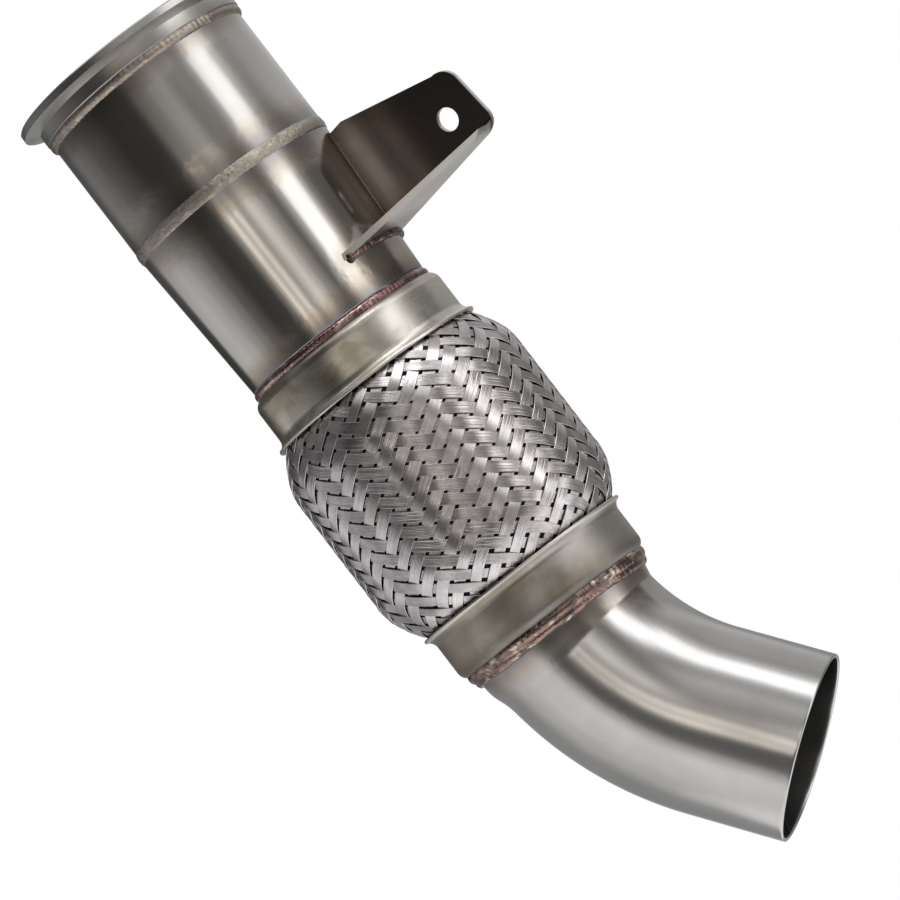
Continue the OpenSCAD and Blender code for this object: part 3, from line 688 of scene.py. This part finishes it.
def blotches_and_side_shade(tree):
    """Mask of the brown blotches on a collar, thickened on one side as painted shade."""
    return use(tree, blotch_and_shade_group, {"Shaded Side": LEFT_OF_CAMERA}).outputs["Mask"]


def rim_highlight_at(level):
    """Mask of a collar's painted rim highlight at a level."""
    return lambda tree: use(tree, rim_highlight_group, {"Level": level}).outputs["Mask"]


COLLARS = (  # name, metal, roughness and its spread, heat, brown of the blotches and side shade, level of the lip
    ("upper_collar", (0.71, 0.685, 0.63), 0.29, 0.16, (from_ring(upper_joint_z), 6.0, 0.4),
     (0.60, 0.555, 0.485), flex_z + LIP_HALF),
    # The lower collar's darker metal is painted shade.
    ("lower_collar", (0.53, 0.505, 0.465), 0.40, 0.18, (from_ring(lower_joint_z), 8.0, 0.6),
     (0.70, 0.65, 0.585), flex_z - LIP_HALF),
)
# Each collar: brown blotches, with painted shade on the side left of the camera, and a painted highlight at
# the rim.
for name, metal, roughness, spread, heat, blotch_and_shade_brown, lip_z in COLLARS:
    collar_steel = steel(
        name + "_steel", metal, roughness, spread=spread, stretch=(25, 25, 900), smudge_size=75.0,
        grain=0.006 * MM, wave=0.26 * MM, wave_size=55.0, heat=[heat], stain_and_shade=(blotches_and_side_shade, blotch_and_shade_brown),
        rim_highlight=(rim_highlight_at(lip_z), RIM_HIGHLIGHT_TONE))
    finish_nodes(collar_steel, name)

# %% [markdown]
# The flange is turned, so its rings are very fine. The boss is machined bar, with no one direction in its
# grain. The layers inside the sleeve could have a finish each, but they are hardly seen, so they share one
# that is dull and plain.

# %% Flange, boss and inner finishes
flange_steel = steel(
    "turned_flange_steel", (0.58, 0.57, 0.55), 0.27, stretch=(60, 60, 3000), smudge_size=50.0,
    heat=[(from_ring(flange_back_z), 6.0, 0.5)])
boss_steel = steel(
    "boss_steel", (0.56, 0.54, 0.51), 0.30, stretch=(300, 300, 300), smudge_size=80.0,
    heat=[(from_line(boss_foot), 16.0, 0.6)])
inner_steel = steel("inner_layers_steel", (0.46, 0.44, 0.42), 0.38, spread=0.15)
finish_nodes(flange_steel, "inlet_flange")
finish_nodes(boss_steel, "sensor_boss")
finish_nodes(inner_steel, "bellows", "liner", "upper_inner_ring", "lower_inner_ring")

# %% [markdown]
# The bracket is sheet steel, given a colour far lighter than the other steel as painted light, so that its
# folded flange shows bright. The inner face of its web is painted dark brown as shade, for the shadow inside
# the fold. Two materials could be put on its faces, but the mesh isn't split there. A mask by the distance
# from the web's plane keeps it one material, and the folded flange stays bright.

# %% Bracket finish


def shaded_web_face(tree):
    """Mask of the bracket web's inner face, where dark brown shade is painted."""
    offset = vector_node(tree, "SUBTRACT", {0: object_coords(tree), 1: tuple(bracket_foot)})
    side = vector_node(tree, "DOT_PRODUCT", {0: offset, 1: tuple(bracket_side)}, "Value")
    gap = math_node(tree, "ABSOLUTE", math_node(tree, "SUBTRACT", side, WEB_OFFSET))
    return map_range(tree, gap, 0.2 * MM, 1.2 * MM, 1.0, 0.0)


# Painted light and shade: the sheet's colour is set lighter than steel's for the lit flange, and the web's
# inner face is painted dark brown as shade.
bracket_steel = steel(
    "bracket_sheet_steel", (0.91, 0.885, 0.85), 0.22, stretch=(30, 700, 700), smudge_size=45.0,
    wave=0.08 * MM, wave_size=40.0, heat=[(from_line(bracket_foot, bracket_side, 30 * MM), 16.0, 0.6)],
    stain_and_shade=(shaded_web_face, (0.185, 0.158, 0.145)))
finish_nodes(bracket_steel, "side_bracket")

# %% [markdown]
# ## Weld beads
# A bead laid by hand is a row of overlapping puddles, each a shallow scale with a curved front. A ripple in a
# bump map would show on a flat view, but not on the outline, so the bead is a real tube swept along the
# joint. Its radius swells and dips with the distance along the run, and the dip is drawn back at the edges,
# so each scale is a crescent. Noise on top keeps the run from looking machined. Half of each tube is inside
# the metal that it joins, as fused metal is.

# %% Mesh helpers


def grid_mesh(name, points, close_rows, close_columns):
    """Mesh from a grid of points, joined along both directions."""
    rows, columns = points.shape[:2]
    index = np.arange(rows * columns).reshape(rows, columns)
    if close_rows:
        index = np.vstack([index, index[:1]])
    if close_columns:
        index = np.hstack([index, index[:, :1]])
    faces = np.stack([index[:-1, :-1], index[1:, :-1], index[1:, 1:], index[:-1, 1:]], axis=-1).reshape(-1, 4)
    mesh = bpy.data.meshes.new(name)
    mesh.from_pydata(points.reshape(-1, 3).tolist(), [], faces.tolist())
    mesh.polygons.foreach_set("use_smooth", [True] * len(mesh.polygons))
    return mesh


def put(mesh, material, replaced):
    """Adds a piece that rides on the part and stands for a CAD node."""
    piece = bpy.data.objects.new(mesh.name, mesh)
    scene.collection.objects.link(piece)
    mesh.materials.append(material)
    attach(piece, "root")
    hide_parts(replaced)
    print(piece.name, "with", len(mesh.polygons), "faces for", replaced)


def circle_points(count):
    """Directions round the pipe's axis, evenly spread."""
    turns = [2 * math.pi * i / count for i in range(count)]
    return [Vector((math.cos(a), math.sin(a), 0)) for a in turns]


print("mesh helpers ready")

# %% Bead builder
BEAD_SIDES = 18
FRONT_CURVE = 0.45  # how far each scale's edges lie behind its middle, in scales
SCALE_ROUNDING = 0.6  # below 1 makes the scales fuller and the dips between them narrower
FINE_LUMPS = (2.7, 0.4)  # how much finer and how much lower the second noise is
BLOB_REACH = 1.6  # how far the blob at the start reaches, in radii
SMALLEST_END = 0.003  # keeps the end ring from closing to a point


def lumps(where):
    """Broad and fine unevenness at a place, in shares of the bead's lump."""
    finer, lower = FINE_LUMPS
    return noise.noise(where) + lower * noise.noise(where * finer)


def bead_mesh(name, path, outward, radius, pitch, ripple, lump, lump_size, closed=True, seed=0, end_blob=0.0):
    """Rippled bead along a path; outward gives each point's direction away from the joined metal."""
    count = len(path)
    length = sum((b - a).length for a, b in zip(path, path[1:]))
    rings = np.zeros((count, BEAD_SIDES, 3))
    run = 0.0
    for i, centre in enumerate(path):
        before = path[i - 1] if closed or i > 0 else centre
        after = path[(i + 1) % count] if closed or i < count - 1 else centre
        along = (after - before).normalized()
        out = (outward[i] - along * outward[i].dot(along)).normalized()
        side = along.cross(out)
        if i:
            run += (centre - path[i - 1]).length
        for j in range(BEAD_SIDES):
            a = 2 * math.pi * j / BEAD_SIDES
            spread = math.sin(a)
            phase = run / pitch - FRONT_CURVE * spread * spread
            scale = abs(math.sin(math.pi * phase)) ** SCALE_ROUNDING
            where = (centre + out * (radius * math.cos(a))) / lump_size + Vector((seed * 7.3, 0, 0))
            swell = 1 + ripple * (scale - 0.5) + lump * lumps(where)
            if not closed:
                swell += end_blob * math.exp(-(run / (BLOB_REACH * radius)) ** 2)
                from_end = min(1.0, min(run, length - run) / radius)
                swell *= math.sqrt(max(SMALLEST_END, 1 - (1 - from_end) ** 2))
            rings[i, j] = centre + (out * math.cos(a) + side * spread) * (radius * swell)
    mesh = grid_mesh(name, rings, closed, True)
    if not closed:
        cap_ends(mesh, count)
    return mesh


def cap_ends(mesh, count):
    """Closes both ends of an open bead with a flat face."""
    work = bmesh.new()
    work.from_mesh(mesh)
    work.verts.ensure_lookup_table()
    for start in (0, (count - 1) * BEAD_SIDES):
        loop = [work.verts[start + j] for j in range(BEAD_SIDES)]
        work.faces.new(loop if start else loop[::-1]).smooth = True
    work.to_mesh(mesh)
    work.free()


print("beads have", BEAD_SIDES, "points round them")

# %% [markdown]
# Four beads run right round the pipe. The coupling's upper joint is a small, smooth bead that has gone violet
# brown. The lower one was laid heavier and by a less even hand: it is lumpy, with copper, pink and burnt
# patches, and a second, wandering pass lies below it. One bead with more noise could stand for both, but two
# passes overlap as they do on the real pipe. The flange's bead is straw coloured.

# %% Ring welds
RING_POINTS = 900
upper_weld_metal = weld_metal(
    "upper_bead_metal", body=(0.22, 0.13, 0.125), patch=(0.42, 0.28, 0.27), bright=(0.72, 0.56, 0.53),
    spots=(0.06, 0.04, 0.04), roughness=0.22, patch_size=110.0, pebble=700.0, spot=0.2, depth=0.1 * MM)
lower_weld_metal = weld_metal(
    "lower_bead_metal", body=(0.17, 0.135, 0.125), patch=(0.41, 0.265, 0.225), bright=(0.72, 0.62, 0.51),
    spots=(0.05, 0.04, 0.038), roughness=0.24, patch_size=85.0, pebble=300.0, spot=0.5, depth=0.14 * MM)
inlet_weld_metal = weld_metal(
    "inlet_bead_metal", body=(0.46, 0.40, 0.33), patch=(0.36, 0.30, 0.28), bright=(0.6, 0.54, 0.45),
    spots=(0.14, 0.11, 0.1), roughness=0.34)

outward = circle_points(RING_POINTS)
path = [d * (SPIGOT_R + 0.2 * MM) + Vector((0, 0, upper_joint_z + 1 * MM)) for d in outward]
put(bead_mesh("upper_weld_bead", path, outward, radius=2 * MM, pitch=1.9 * MM, ripple=0.05, lump=0.10,
              lump_size=5 * MM, seed=1), upper_weld_metal, "upper_weld")

path = [d * (SPIGOT_R - 0.6 * MM) + Vector((0, 0, lower_joint_z - 0.68 * MM)) for d in outward]
put(bead_mesh("lower_weld_bead", path, outward, radius=3.2 * MM, pitch=2.4 * MM, ripple=0.035, lump=0.12,
              lump_size=6 * MM, seed=2), lower_weld_metal, "lower_weld")

path = [Vector((p.x, p.y, lower_joint_z - 3.4 * MM + 0.9 * MM * noise.noise(p * 90))) for p in path]
put(bead_mesh("lower_weld_pass", path, outward, radius=2 * MM, pitch=1.7 * MM, ripple=0.05, lump=0.36,
              lump_size=8 * MM, seed=12), lower_weld_metal, "lower_weld")

path = [d * (inlet_r - 1.3 * MM) + Vector((0, 0, flange_back_z)) for d in outward]
put(bead_mesh("inlet_flange_bead", path, outward, radius=2.6 * MM, pitch=2.2 * MM, ripple=0.05, lump=0.06,
              lump_size=5 * MM, seed=3), inlet_weld_metal, "inlet_flange_weld")

# %% [markdown]
# The other beads don't follow plain circles. The boss's bead runs round the saddle where a round boss meets a
# round pipe. The bracket's runs under its flange from a blob at the tip, and a straight one stands behind the
# web. Each path could be cut from the CAD solids, but a few lines of circle and cone say where it goes.

# %% Boss weld
BOSS_POINTS, BOSS_SINK = 360, 0.5 * MM
bracket_weld_metal = weld_metal(
    "bracket_bead_metal", body=(0.09, 0.06, 0.055), patch=(0.18, 0.115, 0.10), bright=(0.36, 0.28, 0.25),
    spots=(0.04, 0.03, 0.03), roughness=0.28, patch_size=150.0, pebble=800.0, spot=0.3)

side_axis = Vector((0, 0, 1)).cross(boss_axis)
path, outward = [], []
for i in range(BOSS_POINTS):
    a = 2 * math.pi * i / BOSS_POINTS
    across, along = BOSS_R * math.cos(a), BOSS_R * math.sin(a)
    depth = math.sqrt(inlet_r ** 2 - across ** 2) - BOSS_SINK
    path.append(boss_axis * depth + side_axis * across + Vector((0, 0, BOSS_Z + along)))
    outward.append((boss_axis + (side_axis * math.cos(a) + Vector((0, 0, math.sin(a)))) * 0.7).normalized())
put(bead_mesh("sensor_boss_bead", path, outward, radius=2.3 * MM, pitch=2 * MM, ripple=0.06, lump=0.08,
              lump_size=4 * MM, seed=4), bracket_weld_metal, "sensor_boss_weld")

# %% Bracket welds
FLANGE_POINTS, WEB_POINTS = 260, 140
WEB_BEAD_START, WEB_BEAD_RUN = 3 * MM, 38 * MM
path, outward = [], []
for i in range(FLANGE_POINTS):
    a = tip_angle + (web_angle - tip_angle) * i / (FLANGE_POINTS - 1)
    path.append(bracket_frame @ Vector((cone_r * math.cos(a), cone_r * math.sin(a), -0.2 * MM)))
    outward.append(bracket_frame.to_3x3() @ Vector((math.cos(a), math.sin(a), -1)).normalized())
put(bead_mesh("bracket_flange_bead", path, outward, radius=1.7 * MM, pitch=1.9 * MM, ripple=0.08, lump=0.18,
              lump_size=3.5 * MM, closed=False, seed=5, end_blob=0.38),
    bracket_weld_metal, "bracket_flange_weld")

turn_arm = Matrix.Rotation(ARM_TURN, 4, "Z")
path, outward = [], []
for i in range(WEB_POINTS):
    z = bracket_z + WEB_BEAD_START + WEB_BEAD_RUN * i / (WEB_POINTS - 1)
    x = math.sqrt(reducer_radius(z) ** 2 - WEB_BACK ** 2)
    path.append(turn_arm @ Vector((x, WEB_BACK, z)))
    outward.append(turn_arm.to_3x3() @ Vector((0.5, 1, 0)).normalized())
put(bead_mesh("bracket_web_bead", path, outward, radius=2.1 * MM, pitch=1.9 * MM, ripple=0.08, lump=0.12,
              lump_size=3.5 * MM, closed=False, seed=6), bracket_weld_metal, "bracket_web_weld")

# %% [markdown]
# The seam between the two pipes was run flat, so it is a low band with a pebbled, straw grey skin. A swept
# tube would stand too high for it. Its section is a shallow crown over the pipes' surface instead, with its
# edges tucked under it, and its pebbles are real geometry because they glint one by one.

# %% Seam weld
SEAM_HALF, SEAM_HIGH, TUCK = 2.75 * MM, 0.45 * MM, 0.12 * MM
SEAM_TURNS, SEAM_ACROSS = 1500, 15
hidden_r = reducer_radius(seam_z - SEAM_HALF) - 0.5 * MM
seam_points = np.zeros((SEAM_TURNS, SEAM_ACROSS + 2, 3))
for i, direction in enumerate(circle_points(SEAM_TURNS)):
    wobble = 0.10 * MM * noise.noise(direction * 9 + Vector((0, 0, 3)))
    for j in range(SEAM_ACROSS):
        u = 2 * j / (SEAM_ACROSS - 1) - 1
        widening = 1 + 0.05 * noise.noise(direction * 25 + Vector((0, 0, u * 2)))
        z = seam_z + wobble + u * SEAM_HALF * widening
        surface = inlet_r if z > seam_z else reducer_radius(z)
        crown = (SEAM_HIGH + TUCK) * (1 - u * u) ** 0.7 - TUCK
        spot = direction * inlet_r + Vector((0, 0, z))
        pebble = 0.13 * noise.noise(spot * 600) + 0.07 * noise.noise(spot * 1300)
        r = surface + crown + pebble * MM * (1 - u * u) ** 0.5
        seam_points[i, j] = direction * r + Vector((0, 0, z))
    for j, u in ((SEAM_ACROSS, 1), (SEAM_ACROSS + 1, -1)):
        seam_points[i, j] = direction * hidden_r + Vector((0, 0, seam_z + u * SEAM_HALF))
seam_metal = weld_metal(
    "seam_bead_metal", body=(0.52, 0.47, 0.40), patch=(0.42, 0.375, 0.33), bright=(0.66, 0.60, 0.51),
    spots=(0.12, 0.10, 0.085), roughness=0.32, patch_size=80.0, pebble=1000.0, spot=0.6, depth=0.28 * MM)
put(grid_mesh("seam_bead", seam_points, True, True), seam_metal, "seam_weld")

# %% [markdown]
# ## The outlet bend
# The CAD bend steps down from its swaged end in a sharp cone. The real tube is pressed to that shape and
# every edge has flowed. A bevel on the CAD mesh would round the step but not ease it, so the bend is swept
# again along the same line with an eased radius: straight inside the collar, the first degrees of the bend
# at full size, a short step, the rest of the bend, and a straight run to the mouth. The wall is turned in at
# the mouth with a small rounded edge.

# %% Line and radius of the outlet tube
BEND_R, WALL, OUTLET_R = 105 * MM, 1.5 * MM, 35 * MM
TUBE_TOP_Z, BEND_Z = lower_joint_z + 10 * MM, lower_joint_z + 3.3 * MM
SWAGE_TURN, FULL_TURN = math.radians(6), math.radians(38)
EASE_BEFORE, EASE_RUN = 3 * MM, 11 * MM
STRETCHES = [  # length and turn of each stretch of the tube
    (TUBE_TOP_Z - BEND_Z, 0.0), (BEND_R * SWAGE_TURN, SWAGE_TURN), (4 * MM, 0.0),
    (BEND_R * (FULL_TURN - SWAGE_TURN), FULL_TURN - SWAGE_TURN), (37 * MM, 0.0),
]
tube_length = sum(length for length, _ in STRETCHES)
step_start = STRETCHES[0][0] + STRETCHES[1][0]


def tube_place(run):
    """Point on the tube's centreline and how far it has turned there."""
    x, z, heading = 0.0, TUBE_TOP_Z, 0.0
    for length, bend in STRETCHES:
        part = min(run, length)
        if bend:
            swept = bend * part / length
            x += BEND_R * (math.cos(heading) - math.cos(heading + swept))
            z -= BEND_R * (math.sin(heading + swept) - math.sin(heading))
            heading += swept
        else:
            x += part * math.sin(heading)
            z -= part * math.cos(heading)
        run -= part
        if run <= 0:
            break
    return Vector((x, 0, z)), heading


def tube_radius(run):
    """Outside radius, eased over the step."""
    part = min(1.0, max(0.0, (run - step_start + EASE_BEFORE) / EASE_RUN))
    return SPIGOT_R + (OUTLET_R - SPIGOT_R) * part * part * (3 - 2 * part)


print("outlet tube ends at", [round(v, 5) for v in tube_place(tube_length)[0]])

# %% Outlet tube
EDGE = 0.5 * MM  # radius of the mouth's rounded edge
OUTSIDE_STEPS, INSIDE_STEPS, TUBE_SIDES = 150, 90, 144
outside = [((tube_length - EDGE) * (i / OUTSIDE_STEPS), 0.0) for i in range(OUTSIDE_STEPS + 1)]
edge_out = [(tube_length - EDGE * (1 - math.sin(a)), EDGE * (1 - math.cos(a)))
            for a in np.linspace(0.25, math.pi / 2, 6)]
edge_in = [(tube_length - EDGE * (1 - math.cos(a)), WALL - EDGE * (1 - math.sin(a)))
           for a in np.linspace(0.2, math.pi / 2, 6)]
inside = [((tube_length - EDGE) * (1 - i / INSIDE_STEPS), WALL) for i in range(1, INSIDE_STEPS + 1)]
section = outside + edge_out + edge_in + inside
tube_points = np.zeros((len(section), TUBE_SIDES, 3))
for i, (run, inset) in enumerate(section):
    centre, heading = tube_place(run)
    sideways = Vector((math.cos(heading), 0, math.sin(heading)))
    r = tube_radius(run) - inset
    for j, direction in enumerate(circle_points(TUBE_SIDES)):
        tube_points[i, j] = centre + sideways * (r * direction.x) + Vector((0, r * direction.y, 0))
put(grid_mesh("outlet_tube", tube_points, True, True), outlet_steel, "outlet_bend")

# %% [markdown]
# ## The woven sleeve
# The sleeve is a tubular braid: flat ribbons, each a row of fine wires side by side, half of them winding
# to the right and half to the left, each passing over two and under two. A bump map of a weave would look
# flat from the side and would lack the deep gaps, so the ribbons are real geometry, wires and all: it is
# their rounded backs that make the ribbons glint in streaks.
#
# The crossings fall on a simple grid of rows up the barrel and columns round it. A right-hand ribbon climbs
# one row for each column, a left-hand one drops a row for each, and a cosine with a period of four columns
# lifts and sinks them.

# %% Weave layout
STRANDS, ROWS = 32, 26
WEAVE_END = LIP_HALF - 1.2 * MM
ROW_STEP = 2 * WEAVE_END / ROWS
BARREL_END, BARREL_RUN = LIP_HALF + 2 * MM, 22 * MM
WIRES = 8
RIBBON = 4.28 * MM
LIFT = 0.46 * MM
FLOAT_FLATNESS = 0.8


def barrel_radius(z):
    """Radius of the sleeve's outline, z from the coupling's middle."""
    part = min(1.0, max(0.0, (BARREL_END - abs(z)) / BARREL_RUN))
    return BOUND_R + (braid_r - BOUND_R) * math.sin(math.pi / 2 * part)


def ribbon_level(column, start):
    """Height of a ribbon over its mean, from -1 to 1, flat on the floats."""
    wave = math.cos(math.pi / 2 * (column - start))
    return math.tanh(FLOAT_FLATNESS * wave) / math.tanh(FLOAT_FLATNESS)


print("row step", round(ROW_STEP * 1000, 3), "mm")

# %% [markdown]
# Each ribbon is a grid of points, along it by across it, so its wires can be lifted and swayed one by one.
# Copies of one perfect ribbon would be quicker, but real ones differ: some are wider, and here and there the
# wires have worked loose over a few crossings. Each ribbon draws its own numbers from its own seed, so the
# sleeve comes out the same each time.

# %% One ribbon
STEPS_PER_ROW = 4
OVERRUN = 2.4 * MM  # how far a ribbon goes on under the collars
LOOSE_SHARE, NOWHERE = 0.45, -99
FRAY_ROWS = 1.6  # how many rows a loose place reaches either way
SWAY_TIGHT, SWAY_LOOSE = 0.02, 0.16  # how far wires wander sideways, in mm
SHAKE_TIGHT, SHAKE_LOOSE = 0.015, 0.10  # how far they wander up and down, in mm
DRIFT = 0.12  # how far a ribbon wanders off its columns
WIRE_SECTION = ((-0.5, -0.05), (-0.25, 0.0), (0.25, 0.0))  # place across a wire in widths, height in mm
SHOULDER, TUCK_DEPTH, TUCK_SHARE = 0.09 * MM, 0.36 * MM, 0.98  # a ribbon's rounded, tucked under edge


def ribbon_points(hand, which):
    """Grid of points of one ribbon; hand is 1 for right and -1 for left."""
    rng = random.Random(1000 * which + (1 if hand > 0 else 2))
    start = 0.5 if hand > 0 else 2.5
    over = int(round(OVERRUN / ROW_STEP * STEPS_PER_ROW))
    is_loose = rng.random() < LOOSE_SHARE
    loose_at = rng.uniform(0, ROWS) if is_loose else NOWHERE
    wire_lift = [rng.uniform(-0.02, 0.02) * MM for _ in range(WIRES)]
    width = RIBBON * rng.uniform(0.95, 1.04)
    rows = []
    for s in range(-over, ROWS * STEPS_PER_ROW + over + 1):
        row = s / STEPS_PER_ROW
        z = row * ROW_STEP - WEAVE_END
        column = hand * row + 2 * which
        drift = DRIFT * noise.noise(Vector((row * 0.35, which * 3.1, hand * 5.0)))
        turn = (column + drift) * math.pi / STRANDS
        r = barrel_radius(z)
        inside = min(1.0, max(0.0, (LIP_HALF - abs(z)) / (3 * MM)))
        lift = (LIFT - 0.02 * MM) * ribbon_level(column, start) * (0.35 + 0.65 * inside)
        squeeze = min(1.0, r / braid_r * 1.04)
        radial = Vector((math.cos(turn), math.sin(turn), 0))
        around = Vector((-math.sin(turn), math.cos(turn), 0))
        slope = (barrel_radius(z + 0.1 * MM) - barrel_radius(z - 0.1 * MM)) / (0.2 * MM)
        climb = Vector((radial.x * slope, radial.y * slope, 1)).normalized()
        along = (around * (hand * math.pi * r / STRANDS) + climb * ROW_STEP).normalized()
        out = (radial - climb * radial.dot(climb)).normalized()
        side = out.cross(along)
        centre = radial * (r - LIFT + lift) + Vector((0, 0, z + flex_z))
        fray = math.exp(-((row - loose_at) / FRAY_ROWS) ** 2)
        sway_most = (SWAY_TIGHT + SWAY_LOOSE * fray) * MM
        shake_most = (SHAKE_TIGHT + SHAKE_LOOSE * fray) * MM
        edge = 0.5 * width * squeeze
        line = [centre - side * edge * TUCK_SHARE - out * TUCK_DEPTH]
        for w in range(WIRES):
            sway = noise.noise(Vector((row * 0.8 + 11 * w, which * 1.7, hand))) * sway_most
            shake = noise.noise(Vector((row * 0.6, w * 5.3 + which, hand * 3))) * shake_most
            middle = ((w + 0.5) / WIRES - 0.5) * width * squeeze + sway
            for part, height in WIRE_SECTION:
                place = side * (middle + part * width / WIRES * squeeze)
                line.append(centre + place + out * (wire_lift[w] + shake + height * MM))
        line.append(centre + side * edge - out * SHOULDER)
        line.append(centre + side * edge * TUCK_SHARE - out * TUCK_DEPTH)
        rows.append([tuple(p) for p in line])
    return np.array(rows)


sample = ribbon_points(1, 0)
print("a ribbon has", sample.shape[0], "by", sample.shape[1], "points")

# %% Families of ribbons


def ribbon_family(name, hand):
    """All the ribbons that wind one way, as one mesh with a map of the place across each ribbon."""
    points, places, faces, base = [], [], [], 0
    for which in range(STRANDS):
        grid = ribbon_points(hand, which)
        rows, columns = grid.shape[:2]
        index = np.arange(rows * columns).reshape(rows, columns) + base
        quad = np.stack([index[:-1, :-1], index[:-1, 1:], index[1:, 1:], index[1:, :-1]], axis=-1)
        across, along = np.meshgrid(np.linspace(0, 1, columns), np.linspace(0, 20, rows))
        points.append(grid.reshape(-1, 3))
        places.append(np.stack([across, along], axis=-1).reshape(-1, 2))
        faces.append(quad.reshape(-1, 4))
        base += rows * columns
    points, places, faces = np.vstack(points), np.vstack(places), np.vstack(faces)
    mesh = bpy.data.meshes.new(name)
    mesh.from_pydata(points.tolist(), [], faces.tolist())
    across_map = mesh.uv_layers.new(name="across_ribbon")
    across_map.data.foreach_set("uv", places[faces.reshape(-1)].reshape(-1))
    mesh.polygons.foreach_set("use_smooth", [True] * len(mesh.polygons))
    return mesh


# %% [markdown]
# The wire is bright drawn stainless, a little pinkish beside the pipes. Some ribbons are duller than others,
# so the colour and roughness wander slowly over the sleeve. That is one group, as both families of ribbons
# use it. The left-hand family gets darker colours than the right-hand one, which is painted shade. The glint
# of a row of round wires is drawn out across them. A finer mesh could show that, but an anisotropic shader
# does it with no more points, and the map made above gives its direction.

# %% Wire finish
wire_group, group_in, group_out = new_group(
    "wire_tones",
    [("Dull", "Color", (0.6, 0.57, 0.57, 1)), ("Bright", "Color", (0.8, 0.75, 0.76, 1)),
     ("Mean Roughness", "Float", 0.26)],
    [("Color", "Color"), ("Roughness", "Float")],
)
patch = noise_node(wire_group, object_coords(wire_group), 130.0, detail=3.0, roughness=0.6)
tone = mix(wire_group, map_range(wire_group, patch, 0.36, 0.62), group_in.outputs["Dull"],
           group_in.outputs["Bright"])
roughest = math_node(wire_group, "ADD", group_in.outputs["Mean Roughness"], 0.05)
smoothest = math_node(wire_group, "SUBTRACT", group_in.outputs["Mean Roughness"], 0.05)
rough = map_range(wire_group, patch, 0.35, 0.65, roughest, smoothest)
give_out(wire_group, group_out, {"Color": tone, "Roughness": rough})


def wire_steel(name, dull, bright, roughness):
    """Wire metal in two tones, with its glints drawn across the wires."""
    mat, tree, shader = principled(name)
    tones = use(tree, wire_group, {"Dull": (*dull, 1), "Bright": (*bright, 1), "Mean Roughness": roughness})
    tree.links.new(tones.outputs["Color"], shader.inputs["Base Color"])
    tree.links.new(tones.outputs["Roughness"], shader.inputs["Roughness"])
    across_wires = add(tree, "ShaderNodeTangent", direction_type="UV_MAP", uv_map="across_ribbon")
    tree.links.new(across_wires.outputs[0], shader.inputs["Tangent"])
    shader.inputs["Anisotropic"].default_value = 0.7
    return mat


right_wire = wire_steel("right_hand_wire", (0.60, 0.57, 0.57), (0.80, 0.75, 0.76), 0.27)
# Darker copy of the wire's colours for the left-hand family: painted shade.
shaded_left_wire = wire_steel("left_hand_wire_shaded", (0.44, 0.415, 0.415), (0.66, 0.615, 0.62), 0.25)
put(ribbon_family("braid_right_hand", 1), right_wire, "outer_braid")
put(ribbon_family("braid_left_hand", -1), shaded_left_wire, "outer_braid")

# %% [markdown]
# Between the ribbons of a real sleeve one sees only shadow. Leaving the gaps open would show the bright
# bellows behind, so a dark inner sleeve closes them. It follows the barrel just under the ribbons.

# %% Inner sleeve
SLEEVE_SIDES, SLEEVE_ROWS, SLEEVE_DEPTH = 96, 48, 1.25 * MM
sleeve_points = np.zeros((SLEEVE_SIDES, SLEEVE_ROWS, 3))
for i, direction in enumerate(circle_points(SLEEVE_SIDES)):
    for j in range(SLEEVE_ROWS):
        z = -BARREL_END + 2 * BARREL_END * j / (SLEEVE_ROWS - 1)
        r = barrel_radius(z) - SLEEVE_DEPTH
        sleeve_points[i, j] = direction * r + Vector((0, 0, z + flex_z))

shade, tree, shader = principled("sleeve_shadow", 0.6)
dark = add(tree, "ShaderNodeValToRGB", {0: noise_node(tree, object_coords(tree), 400.0)})
set_ramp(dark.color_ramp, [(0.0, (0.006, 0.006, 0.006)), (1.0, (0.03, 0.028, 0.027))])
tree.links.new(dark.outputs[0], shader.inputs["Base Color"])
shader.inputs["Roughness"].default_value = 0.7
put(grid_mesh("braid_inner_sleeve", sleeve_points, True, False), shade, "outer_braid")
